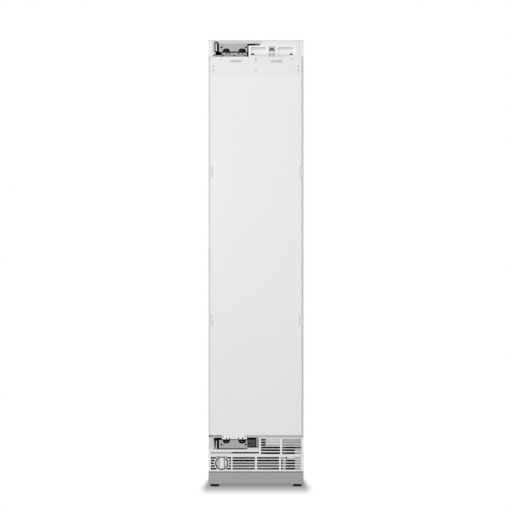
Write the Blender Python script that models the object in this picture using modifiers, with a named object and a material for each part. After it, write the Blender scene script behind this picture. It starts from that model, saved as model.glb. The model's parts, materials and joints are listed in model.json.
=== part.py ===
"""A built-in column freezer: cabinet, door, hinges with a soft-close link, grilles, base and inner fittings.

Metres, +Z up. The front looks along -Y and the origin lies on the floor, in the middle of the footprint.
Run with: blender --background --python part.py
"""
import bpy
import bmesh
from math import atan2, cos, pi, radians, sin
from mathutils import Matrix, Vector

# Overall size
WIDTH = 0.451
HEIGHT = 2.120
DEPTH = 0.608
FIT = 0.0003
OVERRUN = 0.004
WELD = 0.00001

# Heights of what the front shows, from the floor upward
TOE_LIFT = 0.0088
TOE_H = 0.0648
LOWER_GRILLE_H = 0.0667
GRILLE_SEAM = 0.0043
UPPER_GRILLE_H = 0.0864
DOOR_LIFT = 0.0124
TOP_BOX_H = 0.0788

# Door
DOOR_T = 0.050
SEAL_GAP = 0.015
FIXING_T = 0.0025
EDGE_STRIP_W = 0.0105
EDGE_STRIP_DROP = 0.0080
DOOR_SKIN = 0.0012
DOOR_RETURN = 0.028
DOOR_LINER_T = 0.0018
PLUG_H = 0.006
PLUG_INSET = 0.014
SEAL_W = 0.012
SEAL_OVERLAP = 0.001

# Cabinet body
FRAME_T = 0.002
SHELL_T = 0.0015
LINER_T = 0.002
SIDE_WALL = 0.050
ROOF_WALL = 0.056
FLOOR_WALL = 0.058
REAR_WALL = 0.062
LINER_ROUND = 0.004

# Places that follow from these sizes
LEFT = -WIDTH / 2
RIGHT = WIDTH / 2
BACK = DEPTH / 2
FACE = FIXING_T - DEPTH / 2
TOE_TOP = TOE_LIFT + TOE_H
LOWER_BASE = TOE_TOP + FIT
LOWER_TOP = LOWER_BASE + LOWER_GRILLE_H
UPPER_BASE = LOWER_TOP + GRILLE_SEAM
UPPER_TOP = UPPER_BASE + UPPER_GRILLE_H
DOOR_BASE = UPPER_TOP + DOOR_LIFT
DOOR_TOP = HEIGHT - TOP_BOX_H
DOOR_REAR = FACE + DOOR_T
BODY_FACE = DOOR_REAR + SEAL_GAP
BODY_BASE = DOOR_BASE
BODY_TOP = DOOR_TOP
CAVITY_LEFT = LEFT + SIDE_WALL
CAVITY_RIGHT = RIGHT - SIDE_WALL
CAVITY_BACK = BACK - REAR_WALL
CAVITY_BASE = BODY_BASE + FLOOR_WALL
CAVITY_TOP = BODY_TOP - ROOF_WALL

# Top box and fascia
SHEET_T = 0.0015
TOP_BOX_DEPTH = 0.300
FLANGE_W = 0.020
FASCIA_T = 0.0015
POCKET_LEFT = 0.024
POCKET_W = 0.232
POCKET_TOP_DROP = 0.0025
POCKET_ROUND = 0.008
POCKET_DEPTH = 0.0095
POCKET_SPLIT = 0.186
ARM_NOTCH_H = 0.008
POCKET_SLOT_DROP = 0.0120
COVER_LEFT = 0.1902
COVER_W = 0.2211
COVER_H = 0.0525
COVER_DEPTH = 0.022
COVER_SETBACK = 0.0008
COVER_LIP = 0.004
COVER_LIP_T = 0.0025
RECESS_W = 0.077
RECESS_H = 0.0437
RECESS_DEPTH = 0.009
RECESS_SIDE = 0.0076
RECESS_BASE = 0.0034
RECESS_ROUND = 0.008
MARKER_W = 0.0385
MARKER_H = 0.0355
MARKER_OVER = 0.001
MARKER_OUT = 0.0012
MARKER_FRAME = 0.003
MARKER_SINK = 0.0008
POST_W = 0.0088
POST_GAP_W = 0.0100
POST_GAP_DEPTH = 0.007
POST_H = 0.0145
ARROW_SINK = 0.0006
ARROW_W = 0.021
ARROW_H = 0.0115
ARROW_BAR = 0.0045

# Hinges, measured from the left side and the door's face
PIVOT_IN = 0.028
PIVOT_BACK = 0.022
PIVOT_R = 0.005
KNUCKLE_R = 0.009
ARM_W = 0.011
NECK_L = 0.030
NECK_ANGLE = radians(25)
BRACKET_T = 0.005
BRACKET_LEFT = 0.064
BRACKET_W = 0.118
BRACKET_DEPTH = 0.040
BRACKET_LIP_H = 0.0185
BRACKET_LIP_T = 0.0025
BRACKET_SETBACK = 0.0006
SCREW_R = 0.0031
SCREW_ROW_SHARES = (0.187, 0.297, 0.667, 0.832)
SCREW_LOW_SHARES = (0.04, 0.487, 0.924)
SCREW_ROW_RISE_SHARE = 0.80
SCREW_LOW_RISE_SHARE = 0.42
ROOF_GAP = 0.0225
ROOF_T = 0.004
BLOCK_LEFT = 0.004
BLOCK_W = 0.182
BLOCK_DEPTH = 0.116
LEG_T = 0.004
TOWER_LEFT = 0.0252
TOWER_W = 0.0236
TOWER_H = 0.0490
TOWER_SLOT_W = 0.0075
TOWER_SLOT_IN = 0.0010
TOWER_BAR_W = 0.0070
TOWER_BAR_IN = 0.0085
TOWER_BAR_OUT = 0.0015
TOWER_BAR_END = 0.007
HINGE_COVER_LEFT = 0.050
HINGE_COVER_W = 0.134
HINGE_COVER_H = 0.040
HINGE_COVER_T = 0.002
DOME_W = 0.0327
DOME_H = 0.0165
DOME_ROUND = 0.0125
DOME_LEFT = 0.0180
DOME_RIGHT = 0.0062
COVER_SCREW_R = 0.003
COVER_SCREW_LEFT = 0.0115
COVER_SCREW_RIGHT = 0.0072
COVER_SCREW_RISE = 0.0225
DARK_BOX_LEFT = 0.184
DARK_BOX_W = 0.040
DARK_BOX_DROP = 0.0115
DARK_BOX_H = 0.0455
DARK_BOX_DEPTH = 0.050
DARK_BOX_SET = 0.002

# Soft-close link, a parallelogram with the door's bracket
CRANK_R = 0.025
LINK_L = 0.060
LINK_ANGLE = radians(57)
LINK_PIN_R = 0.003
LINK_EYE_R = 0.0062
LINK_W = 0.008
LINK_T = 0.004
LINK_PLAY = 0.002
CRANK_T = 0.005
CRANK_EYE_R = 0.009
SHAFT_R = 0.005
PIN_CLEAR = 0.0004

# Grilles and toe kick
GRILLE_T = 0.002
GRILLE_SETBACK = 0.0005
SLOT_H = 0.0074
UPPER_ROWS = 6
UPPER_PITCH = 0.0123
UPPER_FIRST = 0.0152
LOWER_ROWS = 5
LOWER_PITCH = 0.0129
LOWER_FIRST = 0.0105
SLOT_EDGE = 0.0108
SLOT_MIDDLE_GAP = 0.0095
UPPER_SLOTS_W = 0.1913
LOWER_START_SHARES = (0.0239, 0.2528, 0.5100, 0.7619)
LOWER_END_SHARES = (0.2359, 0.4889, 0.7428, 0.9712)
NOTCH_LEFT = 0.024
NOTCH_W = 0.215
NOTCH_H = 0.0546

# Water filter behind the lower grille
FILTER_IN = 0.0624
FILTER_RISE = 0.1107
FILTER_COLLAR_R = 0.0346
FILTER_COLLAR_T = 0.0022
FILTER_LAND_R = 0.0360
FILTER_TUBE_R = 0.0310
FILTER_BORE_R = 0.0290
FILTER_MOUTH_R = 0.0306
FILTER_MOUTH_DEPTH = 0.007
FILTER_TUBE_L = 0.250
FILTER_HEAD_T = 0.014
FILTER_SADDLE_W = 0.030
FILTER_SADDLE_T = 0.010
FILTER_SADDLE_SHARES = (0.22, 0.82)
CAP_R = 0.0265
CAP_T = 0.016
CAP_SETBACK = 0.0006
CAP_STEM_R = 0.0240
CAP_STEM_L = 0.016
GRIP_W = 0.021
GRIP_DEPTH = 0.011
CARTRIDGE_R = 0.0265
CARTRIDGE_NECK_R = 0.012
CARTRIDGE_NECK_L = 0.018

# Base, feet and machine compartment
BASE_SHEET = 0.0015
BASE_RISE = 0.032
BASE_REAR_GAP = 0.006
RAIL_T = 0.0015
RAIL_SET = 0.006
SILL_H = 0.0175
SILL_LEFT = 0.232
SILL_WEB_LEFT = 0.2715
SILL_WEB_H = 0.050
DEEP_SILL_SET = 0.060
DEEP_SILL_RIGHT = 0.240
POST_RIGHTS = (0.084, 0.0127)
POST_WIDTHS = (0.015, 0.028)
LEFT_RAIL_RIGHT = 0.112
LOW_RAIL_LEFT = 0.114
LOW_RAIL_W = 0.226
LOW_RAIL_TOP = 0.113
LEFT_RAIL_BASE = 0.150
LEFT_RAIL_H = 0.020
FOOT_R = 0.020
FOOT_PAD_H = 0.012
FOOT_NECK_R = 0.012
FOOT_STUD_R = 0.005
FOOT_STUD_TOP = 0.030
FOOT_SIDE = 0.0295
FOOT_FRONT = 0.034
FOOT_REAR = 0.045
FOOT_CHAMFER = 0.002
VENT_ROWS = 5
VENT_H = 0.006
VENT_SHARE = 0.8
COMPRESSOR_R = 0.074
COMPRESSOR_H = 0.165
COMPRESSOR_PLATE = 0.170
COMPRESSOR_PLATE_T = 0.003
COMPRESSOR_STUD_R = 0.011
COMPRESSOR_STUD_H = 0.012
COMPRESSOR_IN = 0.115
COMPRESSOR_REAR = 0.1505
CONDENSER_W = 0.176
CONDENSER_H = 0.160
CONDENSER_DEPTH = 0.080
CONDENSER_SIDE = 0.020
CONDENSER_BACK = 0.060
CONDENSER_FINS = 16
SHROUD_DEPTH = 0.038
SHROUD_WALL_SHARE = 0.07
SPIDER_W = 0.008
SPIDER_T = 0.005
FAN_TIP_CLEAR = 0.003
FAN_HUB_R = 0.020
FAN_HUB_L = 0.022
FAN_BLADES = 5
FAN_BLADE_T = 0.0022
FAN_PITCH = radians(38)
FAN_BLADE_CHORD = 0.030
FAN_BOSS_R = 0.014
TRAY_GAP = 0.020
TRAY_DEPTH = 0.250
TRAY_H = 0.032
TRAY_WALL = 0.0025
TRAY_SIDE = 0.018
TRAY_REAR = 0.060
ELECTRONICS_W = 0.170
ELECTRONICS_REAR = 0.028
ELECTRONICS_H = 0.048
ELECTRONICS_SIDE = 0.030
ELECTRONICS_BACK = 0.120

# Fittings of the freezing space
DRAWER_SIDE = 0.082
DRAWER_SET = 0.105
DRAWER_REAR = 0.0585
DRAWER_WALL = 0.0025
DRAWER_H = 0.185
ICE_BIN_H = 0.125
DRAWER_LIFT = 0.018
DRAWER_SPACE = 0.026
DRAWER_FLANGE_W = 0.010
DRAWER_FLANGE_T = 0.004
DRAWER_FLANGE_DROP = 0.012
DRAWER_FLANGE_SET = 0.040
GRIP_HOLE_W = 0.120
GRIP_HOLE_H = 0.022
GRIP_HOLE_DROP = 0.016
RUNNER_PLATE_T = 0.003
RUNNER_T = 0.008
RUNNER_LAP = 0.0095
SHELF_T = 0.005
SHELF_SIDE = 0.0015
SHELF_FRONT = 0.170
SHELF_LIFT = 0.043
SHELF_SHARES = (0.0, 0.30, 0.61)
LEDGE_W = 0.009
LEDGE_H = 0.006
LEDGE_INSET = 0.012
RACK_SIDE = 0.080
RACK_DEPTH = 0.088
RACK_H = 0.085
RACK_WALL = 0.0025
RACK_SHARES = (0.11, 0.50)
RIB_W = 0.010
RIB_DEPTH = 0.050
RIB_SPARE = 0.030
RIB_ROUND = 0.004
RACK_LEDGE_W = 0.007
RACK_LEDGE_H = 0.005
DUCT_DEPTH = 0.074
DUCT_BASE_SHARE = 0.07
DUCT_WALL = 0.002
DUCT_TOP_GAP = 0.055
DUCT_SLOT_H = 0.008
DUCT_SLOT_PITCH = 0.016
DUCT_SLOTS = 7
EVAPORATOR_SIDE = 0.026
EVAPORATOR_RISE_SHARE = 0.08
EVAPORATOR_H_SHARE = 0.38
EVAPORATOR_DEPTH = 0.050
EVAPORATOR_FINS = 22
EVAPORATOR_FAN_R = 0.050
EVAPORATOR_FAN_SHARE = 0.73
EVAPORATOR_BOSS_L = 0.022
ICE_MAKER_RISE = 0.034
ICE_MAKER_W = 0.125
ICE_MAKER_H = 0.095
ICE_MAKER_REAR = 0.0355
ICE_GEAR_L = 0.048
ICE_MOULD_L = 0.190
ICE_MOULD_SIDE = 0.016
ICE_MOULD_H = 0.052
ICE_CUPS = 6
ICE_CUP_WALL = 0.006
BAIL_R = 0.0016
BAIL_DROP = 0.040
BAIL_SPAN = 0.150
BAIL_OUT = 0.016
BAIL_HUB_R = 0.006
BAIL_HUB_L = 0.010
BAIL_RISE = 0.048
PANEL_DEPTH = 0.042
PANEL_H = 0.022
PANEL_SIDE = 0.012
PANEL_SET = 0.010
LIGHT_W = 0.012
LIGHT_T = 0.0032
LIGHT_SET = 0.012
LIGHT_SPARE = 0.050
LIGHT_LENS_ROUND = 0.001

# Fixings for a furniture panel on the door
FIXING_H = 0.0774
FIXING_SIDE = 0.0103
FIXING_ROUND = 0.012
FIXING_SLOT_W = 0.0582
FIXING_SLOT_H = 0.0128
FIXING_SLOT_IN = 0.0890
FIXING_SLOT_DROP = 0.0217
CLIP_W = 0.0185
CLIP_H = 0.0523
CLIP_SIDE = 0.0027
CLIP_T = 0.0018
CLIP_LIP = 0.002
CLIP_RISES = (0.7885, 1.4957)

# Rounding
EDGE_ROUND = 0.001
PANEL_ROUND = 0.0008
ROUND_SIDES = 24
SMALL_SIDES = 12
ARC_STEPS = 6

PARTS = "column_freezer"
CUTTERS = "cutters"


# Scene, finishes and placing

def clear_scene():
    for thing in list(bpy.data.objects):
        bpy.data.objects.remove(thing, do_unlink=True)


def collection(name):
    found = bpy.data.collections.get(name)
    if found is None:
        found = bpy.data.collections.new(name)
        bpy.context.scene.collection.children.link(found)
    return found


def finish(name, colour, roughness, metallic=0.0, alpha=1.0):
    """a Principled material, made once for each name"""
    found = bpy.data.materials.get(name)
    if found is not None:
        return found
    made = bpy.data.materials.new(name)
    made.use_nodes = True
    shader = made.node_tree.nodes["Principled BSDF"]
    shader.inputs["Base Color"].default_value = (*colour, 1.0)
    shader.inputs["Roughness"].default_value = roughness
    shader.inputs["Metallic"].default_value = metallic
    shader.inputs["Alpha"].default_value = alpha
    made.diffuse_color = (*colour, alpha)
    return made


def white_paint():
    return finish("white_paint", (0.80, 0.80, 0.80), 0.45)


def grey_paint():
    return finish("grey_paint", (0.36, 0.36, 0.37), 0.5)


def zinc_steel():
    return finish("zinc_steel", (0.42, 0.42, 0.43), 0.38, 0.9)


def dark_steel():
    return finish("dark_steel", (0.20, 0.20, 0.21), 0.45, 0.8)


def white_plastic():
    return finish("white_plastic", (0.82, 0.82, 0.82), 0.35)


def black_plastic():
    return finish("black_plastic", (0.02, 0.02, 0.022), 0.5)


def clear_plastic():
    return finish("clear_plastic", (0.78, 0.82, 0.85), 0.15, 0.0, 0.45)


def foam():
    return finish("foam", (0.83, 0.74, 0.48), 0.9)


def glass():
    return finish("glass", (0.75, 0.86, 0.84), 0.05, 0.0, 0.35)


def aluminium():
    return finish("aluminium", (0.70, 0.71, 0.72), 0.32, 1.0)


def rubber():
    return finish("rubber", (0.60, 0.60, 0.60), 0.7)


def register(name, form, at, surface=None):
    """link a finished bmesh as an object at a place; with no surface it is a cutter"""
    mesh = bpy.data.meshes.new(name)
    bmesh.ops.recalc_face_normals(form, faces=form.faces)
    form.to_mesh(mesh)
    form.free()
    made = bpy.data.objects.new(name, mesh)
    made.location = at
    if surface is None:
        collection(CUTTERS).objects.link(made)
        made.hide_render = True
        made.display_type = "WIRE"
    else:
        collection(PARTS).objects.link(made)
        mesh.materials.append(surface)
    return made


def smooth(part, angle=radians(35)):
    part.data.shade_smooth()
    part.data.set_sharp_from_angle(angle=angle)
    return part


def middle(low, high):
    return Vector(((a + b) / 2 for a, b in zip(low, high)))


def block_form(low, high):
    form = bmesh.new()
    bmesh.ops.create_cube(form, size=1.0)
    bmesh.ops.scale(form, vec=Vector(high) - Vector(low), verts=form.verts)
    return form


def block(name, low, high, surface=None):
    """a rectangular block between two corners, with its origin in its middle"""
    return register(name, block_form(low, high), middle(low, high), surface)


def tray(name, low, high, wall, open_sides, surface):
    """a sheet box with some sides left open, its wall turned inward"""
    form = block_form(low, high)
    ways = {"front": (0, -1, 0), "back": (0, 1, 0), "top": (0, 0, 1), "bottom": (0, 0, -1)}
    form.normal_update()
    gone = [f for f in form.faces for side in open_sides if f.normal.dot(Vector(ways[side])) > 0.5]
    bmesh.ops.delete(form, geom=gone, context="FACES")
    mesh = bpy.data.meshes.new(name)
    form.to_mesh(mesh)
    form.free()
    made = bpy.data.objects.new(name, mesh)
    made.location = middle(low, high)
    collection(PARTS).objects.link(made)
    mesh.materials.append(surface)
    skin = made.modifiers.new("wall", "SOLIDIFY")
    skin.thickness = wall
    skin.offset = -1.0
    skin.use_even_offset = True
    return made


def turn_to(axis):
    """the rotation that takes +Z to an axis"""
    return Vector((0, 0, 1)).rotation_difference(Vector(axis)).to_matrix().to_4x4()


def rod(name, start, end, radius, surface=None, sides=ROUND_SIDES):
    """a round bar between two points"""
    start, end = Vector(start), Vector(end)
    form = bmesh.new()
    bmesh.ops.create_cone(form, cap_ends=True, segments=sides, radius1=radius, radius2=radius,
                          depth=(end - start).length)
    bmesh.ops.transform(form, matrix=turn_to(end - start), verts=form.verts)
    made = register(name, form, (start + end) / 2, surface)
    return smooth(made)


def turned(name, profile, at, axis, surface, steps=ROUND_SIDES):
    """a profile of (radius, height) pairs, top to bottom on its outer side, turned about an axis"""
    mesh = bpy.data.meshes.new(name)
    points = [(r, 0.0, h) for r, h in profile]
    mesh.from_pydata(points, [(i, i + 1) for i in range(len(points) - 1)], [])
    made = bpy.data.objects.new(name, mesh)
    collection(PARTS).objects.link(made)
    made.location = at
    made.rotation_euler = turn_to(axis).to_euler()
    mesh.materials.append(surface)
    spin = made.modifiers.new("turn", "SCREW")
    spin.steps = steps
    spin.render_steps = steps
    spin.use_merge_vertices = True
    spin.merge_threshold = WELD
    spin.use_smooth_shade = True
    return made


def outline_plate(name, points, at, axis, thickness, surface=None):
    """a flat outline in its own plane, centred on a place and facing an axis"""
    curve = bpy.data.curves.new(name, "CURVE")
    curve.dimensions = "2D"
    curve.fill_mode = "BOTH"
    curve.extrude = thickness / 2
    line = curve.splines.new("POLY")
    line.points.add(len(points) - 1)
    for point, (x, y) in zip(line.points, points):
        point.co = (x, y, 0.0, 1.0)
    line.use_cyclic_u = True
    sketch = bpy.data.objects.new(name + "_outline", curve)
    bpy.context.scene.collection.objects.link(sketch)
    bpy.context.view_layer.update()
    flat = bpy.data.meshes.new_from_object(sketch.evaluated_get(bpy.context.evaluated_depsgraph_get()))
    bpy.data.objects.remove(sketch, do_unlink=True)
    form = bmesh.new()
    form.from_mesh(flat)
    bpy.data.meshes.remove(flat)
    bmesh.ops.remove_doubles(form, verts=form.verts, dist=WELD)
    bmesh.ops.transform(form, matrix=FACING[axis], verts=form.verts)
    return register(name, form, at, surface)


# An outline's x and y lie along these world axes when it faces Y, X or Z
FACING = {
    "z": Matrix.Identity(4),
    "y": Matrix(((1, 0, 0, 0), (0, 0, -1, 0), (0, 1, 0, 0), (0, 0, 0, 1))),
    "x": Matrix(((0, 0, 1, 0), (1, 0, 0, 0), (0, 1, 0, 0), (0, 0, 0, 1))),
}


def arc(x, y, radius, start, end, steps=ARC_STEPS):
    turns = [start + (end - start) * i / steps for i in range(steps + 1)]
    return [(x + radius * cos(a), y + radius * sin(a)) for a in turns]


def rounded(width, height, radius, top_only=False):
    """a rectangle about its middle with round corners, or with only its upper ones round"""
    x, y = width / 2, height / 2
    inner_x, inner_y = x - radius, y - radius
    points = arc(inner_x, inner_y, radius, 0, pi / 2) + arc(-inner_x, inner_y, radius, pi / 2, pi)
    if top_only:
        return points + [(-x, -y), (x, -y)]
    points += arc(-inner_x, -inner_y, radius, pi, 3 * pi / 2)
    return points + arc(inner_x, -inner_y, radius, 3 * pi / 2, 2 * pi)


def combine(part, tool, way):
    """cut with a tool, or weld it on; the tool stays as a hidden guide"""
    if tool.name in collection(PARTS).objects:
        collection(PARTS).objects.unlink(tool)
        collection(CUTTERS).objects.link(tool)
    tool.hide_render = True
    tool.display_type = "WIRE"
    step = part.modifiers.new(tool.name, "BOOLEAN")
    step.operation = way
    step.solver = "EXACT"
    step.object = tool
    return part


def cut(part, *tools):
    for tool in tools:
        combine(part, tool, "DIFFERENCE")
    return part


def weld(part, *tools):
    for tool in tools:
        combine(part, tool, "UNION")
    return part


def many_blocks(name, boxes):
    """several separate blocks as one cutter"""
    form = bmesh.new()
    for low, high in boxes:
        made = bmesh.ops.create_cube(form, size=1.0)["verts"]
        bmesh.ops.scale(form, vec=Vector(high) - Vector(low), verts=made)
        bmesh.ops.translate(form, vec=middle(low, high), verts=made)
    return register(name, form, (0, 0, 0))


def many_rods(name, centres, radius, length, axis="y", sides=SMALL_SIDES):
    """several separate round bars along one axis as one cutter"""
    form = bmesh.new()
    for centre in centres:
        made = bmesh.ops.create_cone(form, cap_ends=True, segments=sides, radius1=radius, radius2=radius,
                                     depth=length)["verts"]
        bmesh.ops.transform(form, matrix=Matrix.Translation(centre) @ FACING[axis], verts=made)
    return register(name, form, (0, 0, 0))


def soften(part, width, segments=2, angle=radians(30)):
    edge = part.modifiers.new("round", "BEVEL")
    edge.width = width
    edge.segments = segments
    edge.limit_method = "ANGLE"
    edge.angle_limit = angle
    edge.use_clamp_overlap = True
    return part


def axis_empty(name, at):
    """an empty on a joint's axis, which carries what moves about it"""
    made = bpy.data.objects.new(name, None)
    made.location = at
    made.empty_display_size = KNUCKLE_R
    collection(PARTS).objects.link(made)
    return made


def carry(carrier, *pieces):
    for piece in pieces:
        piece.parent = carrier
        piece.matrix_parent_inverse = Matrix.Translation(carrier.location).inverted()


def from_side(inward):
    """a place measured from the left side"""
    return LEFT + inward


def from_face(back):
    """a place measured from the door's face"""
    return FACE + back


# Cabinet body

def cabinet_body():
    front = BODY_FACE + FRAME_T + FIT
    tray("cabinet_shell", (LEFT, front, BODY_BASE), (RIGHT, BACK, BODY_TOP), SHELL_T, ["front"], grey_paint())
    rim = block("face_frame", (LEFT, BODY_FACE, BODY_BASE),
                (RIGHT, BODY_FACE + FRAME_T, BODY_TOP), white_paint())
    mouth = (CAVITY_LEFT, BODY_FACE - OVERRUN, CAVITY_BASE)
    cut(rim, block("frame_mouth", mouth, (CAVITY_RIGHT, BODY_FACE + OVERRUN, CAVITY_TOP)))
    inset = SHELL_T + FIT
    low = (LEFT + inset, front, BODY_BASE + inset)
    fill = block("cabinet_insulation", low, (RIGHT - inset, BACK - inset, BODY_TOP - inset), foam())
    outer = LINER_T + FIT
    low = (CAVITY_LEFT - outer, front - OVERRUN, CAVITY_BASE - outer)
    high = (CAVITY_RIGHT + outer, CAVITY_BACK + outer, CAVITY_TOP + outer)
    cut(fill, block("insulation_room", low, high))
    cabinet_liner(front)


def cabinet_liner(front):
    low = (CAVITY_LEFT - LINER_T, front, CAVITY_BASE - LINER_T)
    high = (CAVITY_RIGHT + LINER_T, CAVITY_BACK + LINER_T, CAVITY_TOP + LINER_T)
    liner = block("cabinet_liner", low, high, white_plastic())
    room = block("liner_room", (CAVITY_LEFT, front - OVERRUN, CAVITY_BASE),
                 (CAVITY_RIGHT, CAVITY_BACK, CAVITY_TOP))
    soften(room, LINER_ROUND)
    cut(liner, room)
    for number, rise in enumerate(shelf_rises(), 1):
        for side, name in ((-1, "left"), (1, "right")):
            weld(liner, shelf_ledge("ledge_%s_%d" % (name, number), side, rise))
    hub = rod("fan_boss", evaporator_fan_place(0), evaporator_fan_place(EVAPORATOR_BOSS_L + LINER_T / 2),
              FAN_BOSS_R, sides=SMALL_SIDES)
    weld(liner, hub)


def shelf_ledge(name, side, rise):
    wall = CAVITY_LEFT if side < 0 else CAVITY_RIGHT
    inner = wall - side * LEDGE_W
    outer = wall + side * LINER_T / 2
    low = (min(inner, outer), from_face(SHELF_FRONT) + LEDGE_INSET, rise - FIT - LEDGE_H)
    high = (max(inner, outer), duct_front() - LEDGE_INSET, rise - FIT)
    return block(name, low, high)


def upper_zone(share):
    """a height in the space above the ice maker, as a share of what is left there"""
    base = ice_maker_base() + ICE_MAKER_H + SHELF_LIFT
    return base + (CAVITY_TOP - base) * share


def shelf_rises():
    return [upper_zone(share) for share in SHELF_SHARES]


def rack_rises():
    return [upper_zone(share) for share in RACK_SHARES]


def duct_front():
    return CAVITY_BACK - DUCT_DEPTH


def duct_rise(share):
    """a height on the evaporator's cover, as a share of the cover's own height"""
    base = upper_zone(DUCT_BASE_SHARE)
    return base + (CAVITY_TOP - DUCT_TOP_GAP - base) * share


def evaporator_fan_place(back):
    """a point on the evaporator fan's axis, a length behind the fan's rear face"""
    return Vector((0, CAVITY_BACK - EVAPORATOR_BOSS_L + back, duct_rise(EVAPORATOR_FAN_SHARE)))


# Top box with its fascia and the white cover

def top_frame():
    base = DOOR_TOP + FIT
    frame = tray("top_frame", (LEFT, FACE, base), (RIGHT, from_face(TOP_BOX_DEPTH), HEIGHT), SHEET_T,
                 ["bottom"], white_paint())
    low = (LEFT + FLANGE_W, FACE - OVERRUN, base - OVERRUN)
    high = (RIGHT - FLANGE_W, FACE + SHEET_T + OVERRUN, HEIGHT - SHEET_T)
    cut(frame, block("frame_window", low, high))


def top_fascia():
    """the sheet between the corner flanges, lapping behind them, open at the hinge and the cover"""
    front = FACE + SHEET_T + FIT
    side = SHEET_T + FIT
    top = HEIGHT - SHEET_T - FIT
    low = (LEFT + side, front, DOOR_TOP + FIT)
    plate = block("top_fascia", low, (RIGHT - side, front + FASCIA_T, top), white_paint())
    pocket_top = HEIGHT - POCKET_TOP_DROP
    pocket_h = pocket_top - DOOR_TOP + OVERRUN
    at = (from_side(POCKET_LEFT + POCKET_W / 2), front, pocket_top - pocket_h / 2)
    pocket = outline_plate("pocket_notch", rounded(POCKET_W, pocket_h, POCKET_ROUND, True), at, "y",
                           2 * (FASCIA_T + OVERRUN))
    cover_low = (from_side(COVER_LEFT) - FIT, front - OVERRUN, DOOR_TOP - OVERRUN)
    cover_high = (from_side(COVER_LEFT + COVER_W) + FIT, front + OVERRUN, cover_base() + COVER_H + FIT)
    arm_low = (from_side(FLANGE_W), front - OVERRUN, DOOR_TOP - OVERRUN)
    arm_high = (from_side(POCKET_LEFT + POCKET_ROUND), front + OVERRUN, DOOR_TOP + ARM_NOTCH_H)
    cut(plate, pocket, block("cover_notch", cover_low, cover_high), block("arm_notch", arm_low, arm_high))
    weld(plate, *pocket_walls(front, pocket_top))


def pocket_walls(front, pocket_top):
    """the pocket's roof and back, which stops short over the cover and leaves a slot there"""
    left, split = from_side(POCKET_LEFT - FASCIA_T), from_side(POCKET_SPLIT)
    right = from_side(POCKET_LEFT + POCKET_W + FASCIA_T)
    back = front + POCKET_DEPTH
    roof = block("pocket_roof", (left, front + WELD, pocket_top - FASCIA_T / 2),
                 (right, back, pocket_top + WELD))
    base = DOOR_TOP + FIT + ROOF_GAP + ROOF_T + FIT
    near = block("pocket_back", (left, back - FASCIA_T, base), (split, back - WELD, pocket_top))
    far = block("pocket_back_far", (split - FASCIA_T, back - FASCIA_T + WELD, pocket_top - POCKET_SLOT_DROP),
                (right - WELD, back - 2 * WELD, pocket_top - WELD))
    return roof, near, far


def cover_base():
    return DOOR_TOP + FIT


def control_cover():
    """the white cover with two recesses and an arrow that marks the middle"""
    left, right = from_side(COVER_LEFT), from_side(COVER_LEFT + COVER_W)
    front = FACE + COVER_SETBACK
    base, top = cover_base(), cover_base() + COVER_H
    cover = block("control_cover", (left, front, base), (right, front + COVER_DEPTH, top), white_plastic())
    lip_front = FACE + SHEET_T + FIT + FASCIA_T + FIT
    lip = block("cover_lip", (left + COVER_LIP, lip_front, base),
                (right + COVER_LIP, lip_front + COVER_LIP_T, top + COVER_LIP))
    weld(cover, lip)
    for name, x in (("left", left + RECESS_SIDE + RECESS_W / 2), ("right", right - RECESS_SIDE - RECESS_W / 2)):
        at = (x, front, base + RECESS_BASE + RECESS_H / 2)
        cut(cover, outline_plate("recess_" + name, rounded(RECESS_W, RECESS_H, RECESS_ROUND, True), at, "y",
                                 2 * RECESS_DEPTH))
    marker((left + right) / 2, front, top + MARKER_OVER, cover)


def marker(x, front, top, cover):
    """a framed block with a sunk arrow that shows the middle, on a short post"""
    proud = front - MARKER_OUT
    half = MARKER_W / 2
    weld(cover, block("marker", (x - half, proud, top - MARKER_H), (x + half, FACE + SHEET_T, top)))
    weld(cover, block("marker_post", (x - POST_W / 2, proud, top - MARKER_H - POST_H),
                      (x + POST_W / 2, front + COVER_LIP_T, top - MARKER_H + WELD)))
    for label, sign in (("left", -1), ("right", 1)):
        near, far = sorted((x + sign * POST_W / 2, x + sign * (POST_W / 2 + POST_GAP_W)))
        cut(cover, block("post_gap_" + label, (near, proud - OVERRUN, cover_base() - OVERRUN),
                         (far, front + POST_GAP_DEPTH, top - MARKER_H)))
    inner = half - MARKER_FRAME
    low = (x - inner, proud - OVERRUN, top - MARKER_H + MARKER_FRAME)
    sunk = proud + MARKER_SINK
    cut(cover, block("marker_face", low, (x + inner, sunk, top - MARKER_FRAME)))
    cut(cover, outline_plate("arrow", arrow_outline(), (x, sunk, top - MARKER_H / 2), "y", 2 * ARROW_SINK))


def arrow_outline():
    half, bar = ARROW_W / 2, ARROW_BAR
    drop = ARROW_H / 2
    return [(-half, -drop), (0, drop), (half, -drop), (half, -drop - bar), (0, drop - bar), (-half, -drop - bar)]


# Hinges. Heights run away from the door: up at the top hinge, down at the bottom one

def pivot_point(z):
    return Vector((from_side(PIVOT_IN), from_face(PIVOT_BACK), z))


def polar(centre, length, angle):
    return Vector((centre.x + length * cos(angle), centre.y + length * sin(angle), centre.z))


def span(level, way, start, end):
    """two heights measured from a level, low one first"""
    return sorted((level + way * start, level + way * end))


def bar(name, start, end, width, low_z, high_z, surface=None):
    """a flat bar with round ends between two points, seen from above"""
    run = end - start
    angle = atan2(run.y, run.x)
    half = Vector((run.x, run.y)).length / 2
    points = arc(half, 0, width / 2, -pi / 2, pi / 2) + arc(-half, 0, width / 2, pi / 2, 3 * pi / 2)
    turned_points = [(x * cos(angle) - y * sin(angle), x * sin(angle) + y * cos(angle)) for x, y in points]
    at = ((start.x + end.x) / 2, (start.y + end.y) / 2, (low_z + high_z) / 2)
    return outline_plate(name, turned_points, at, "z", high_z - low_z, surface)


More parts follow.
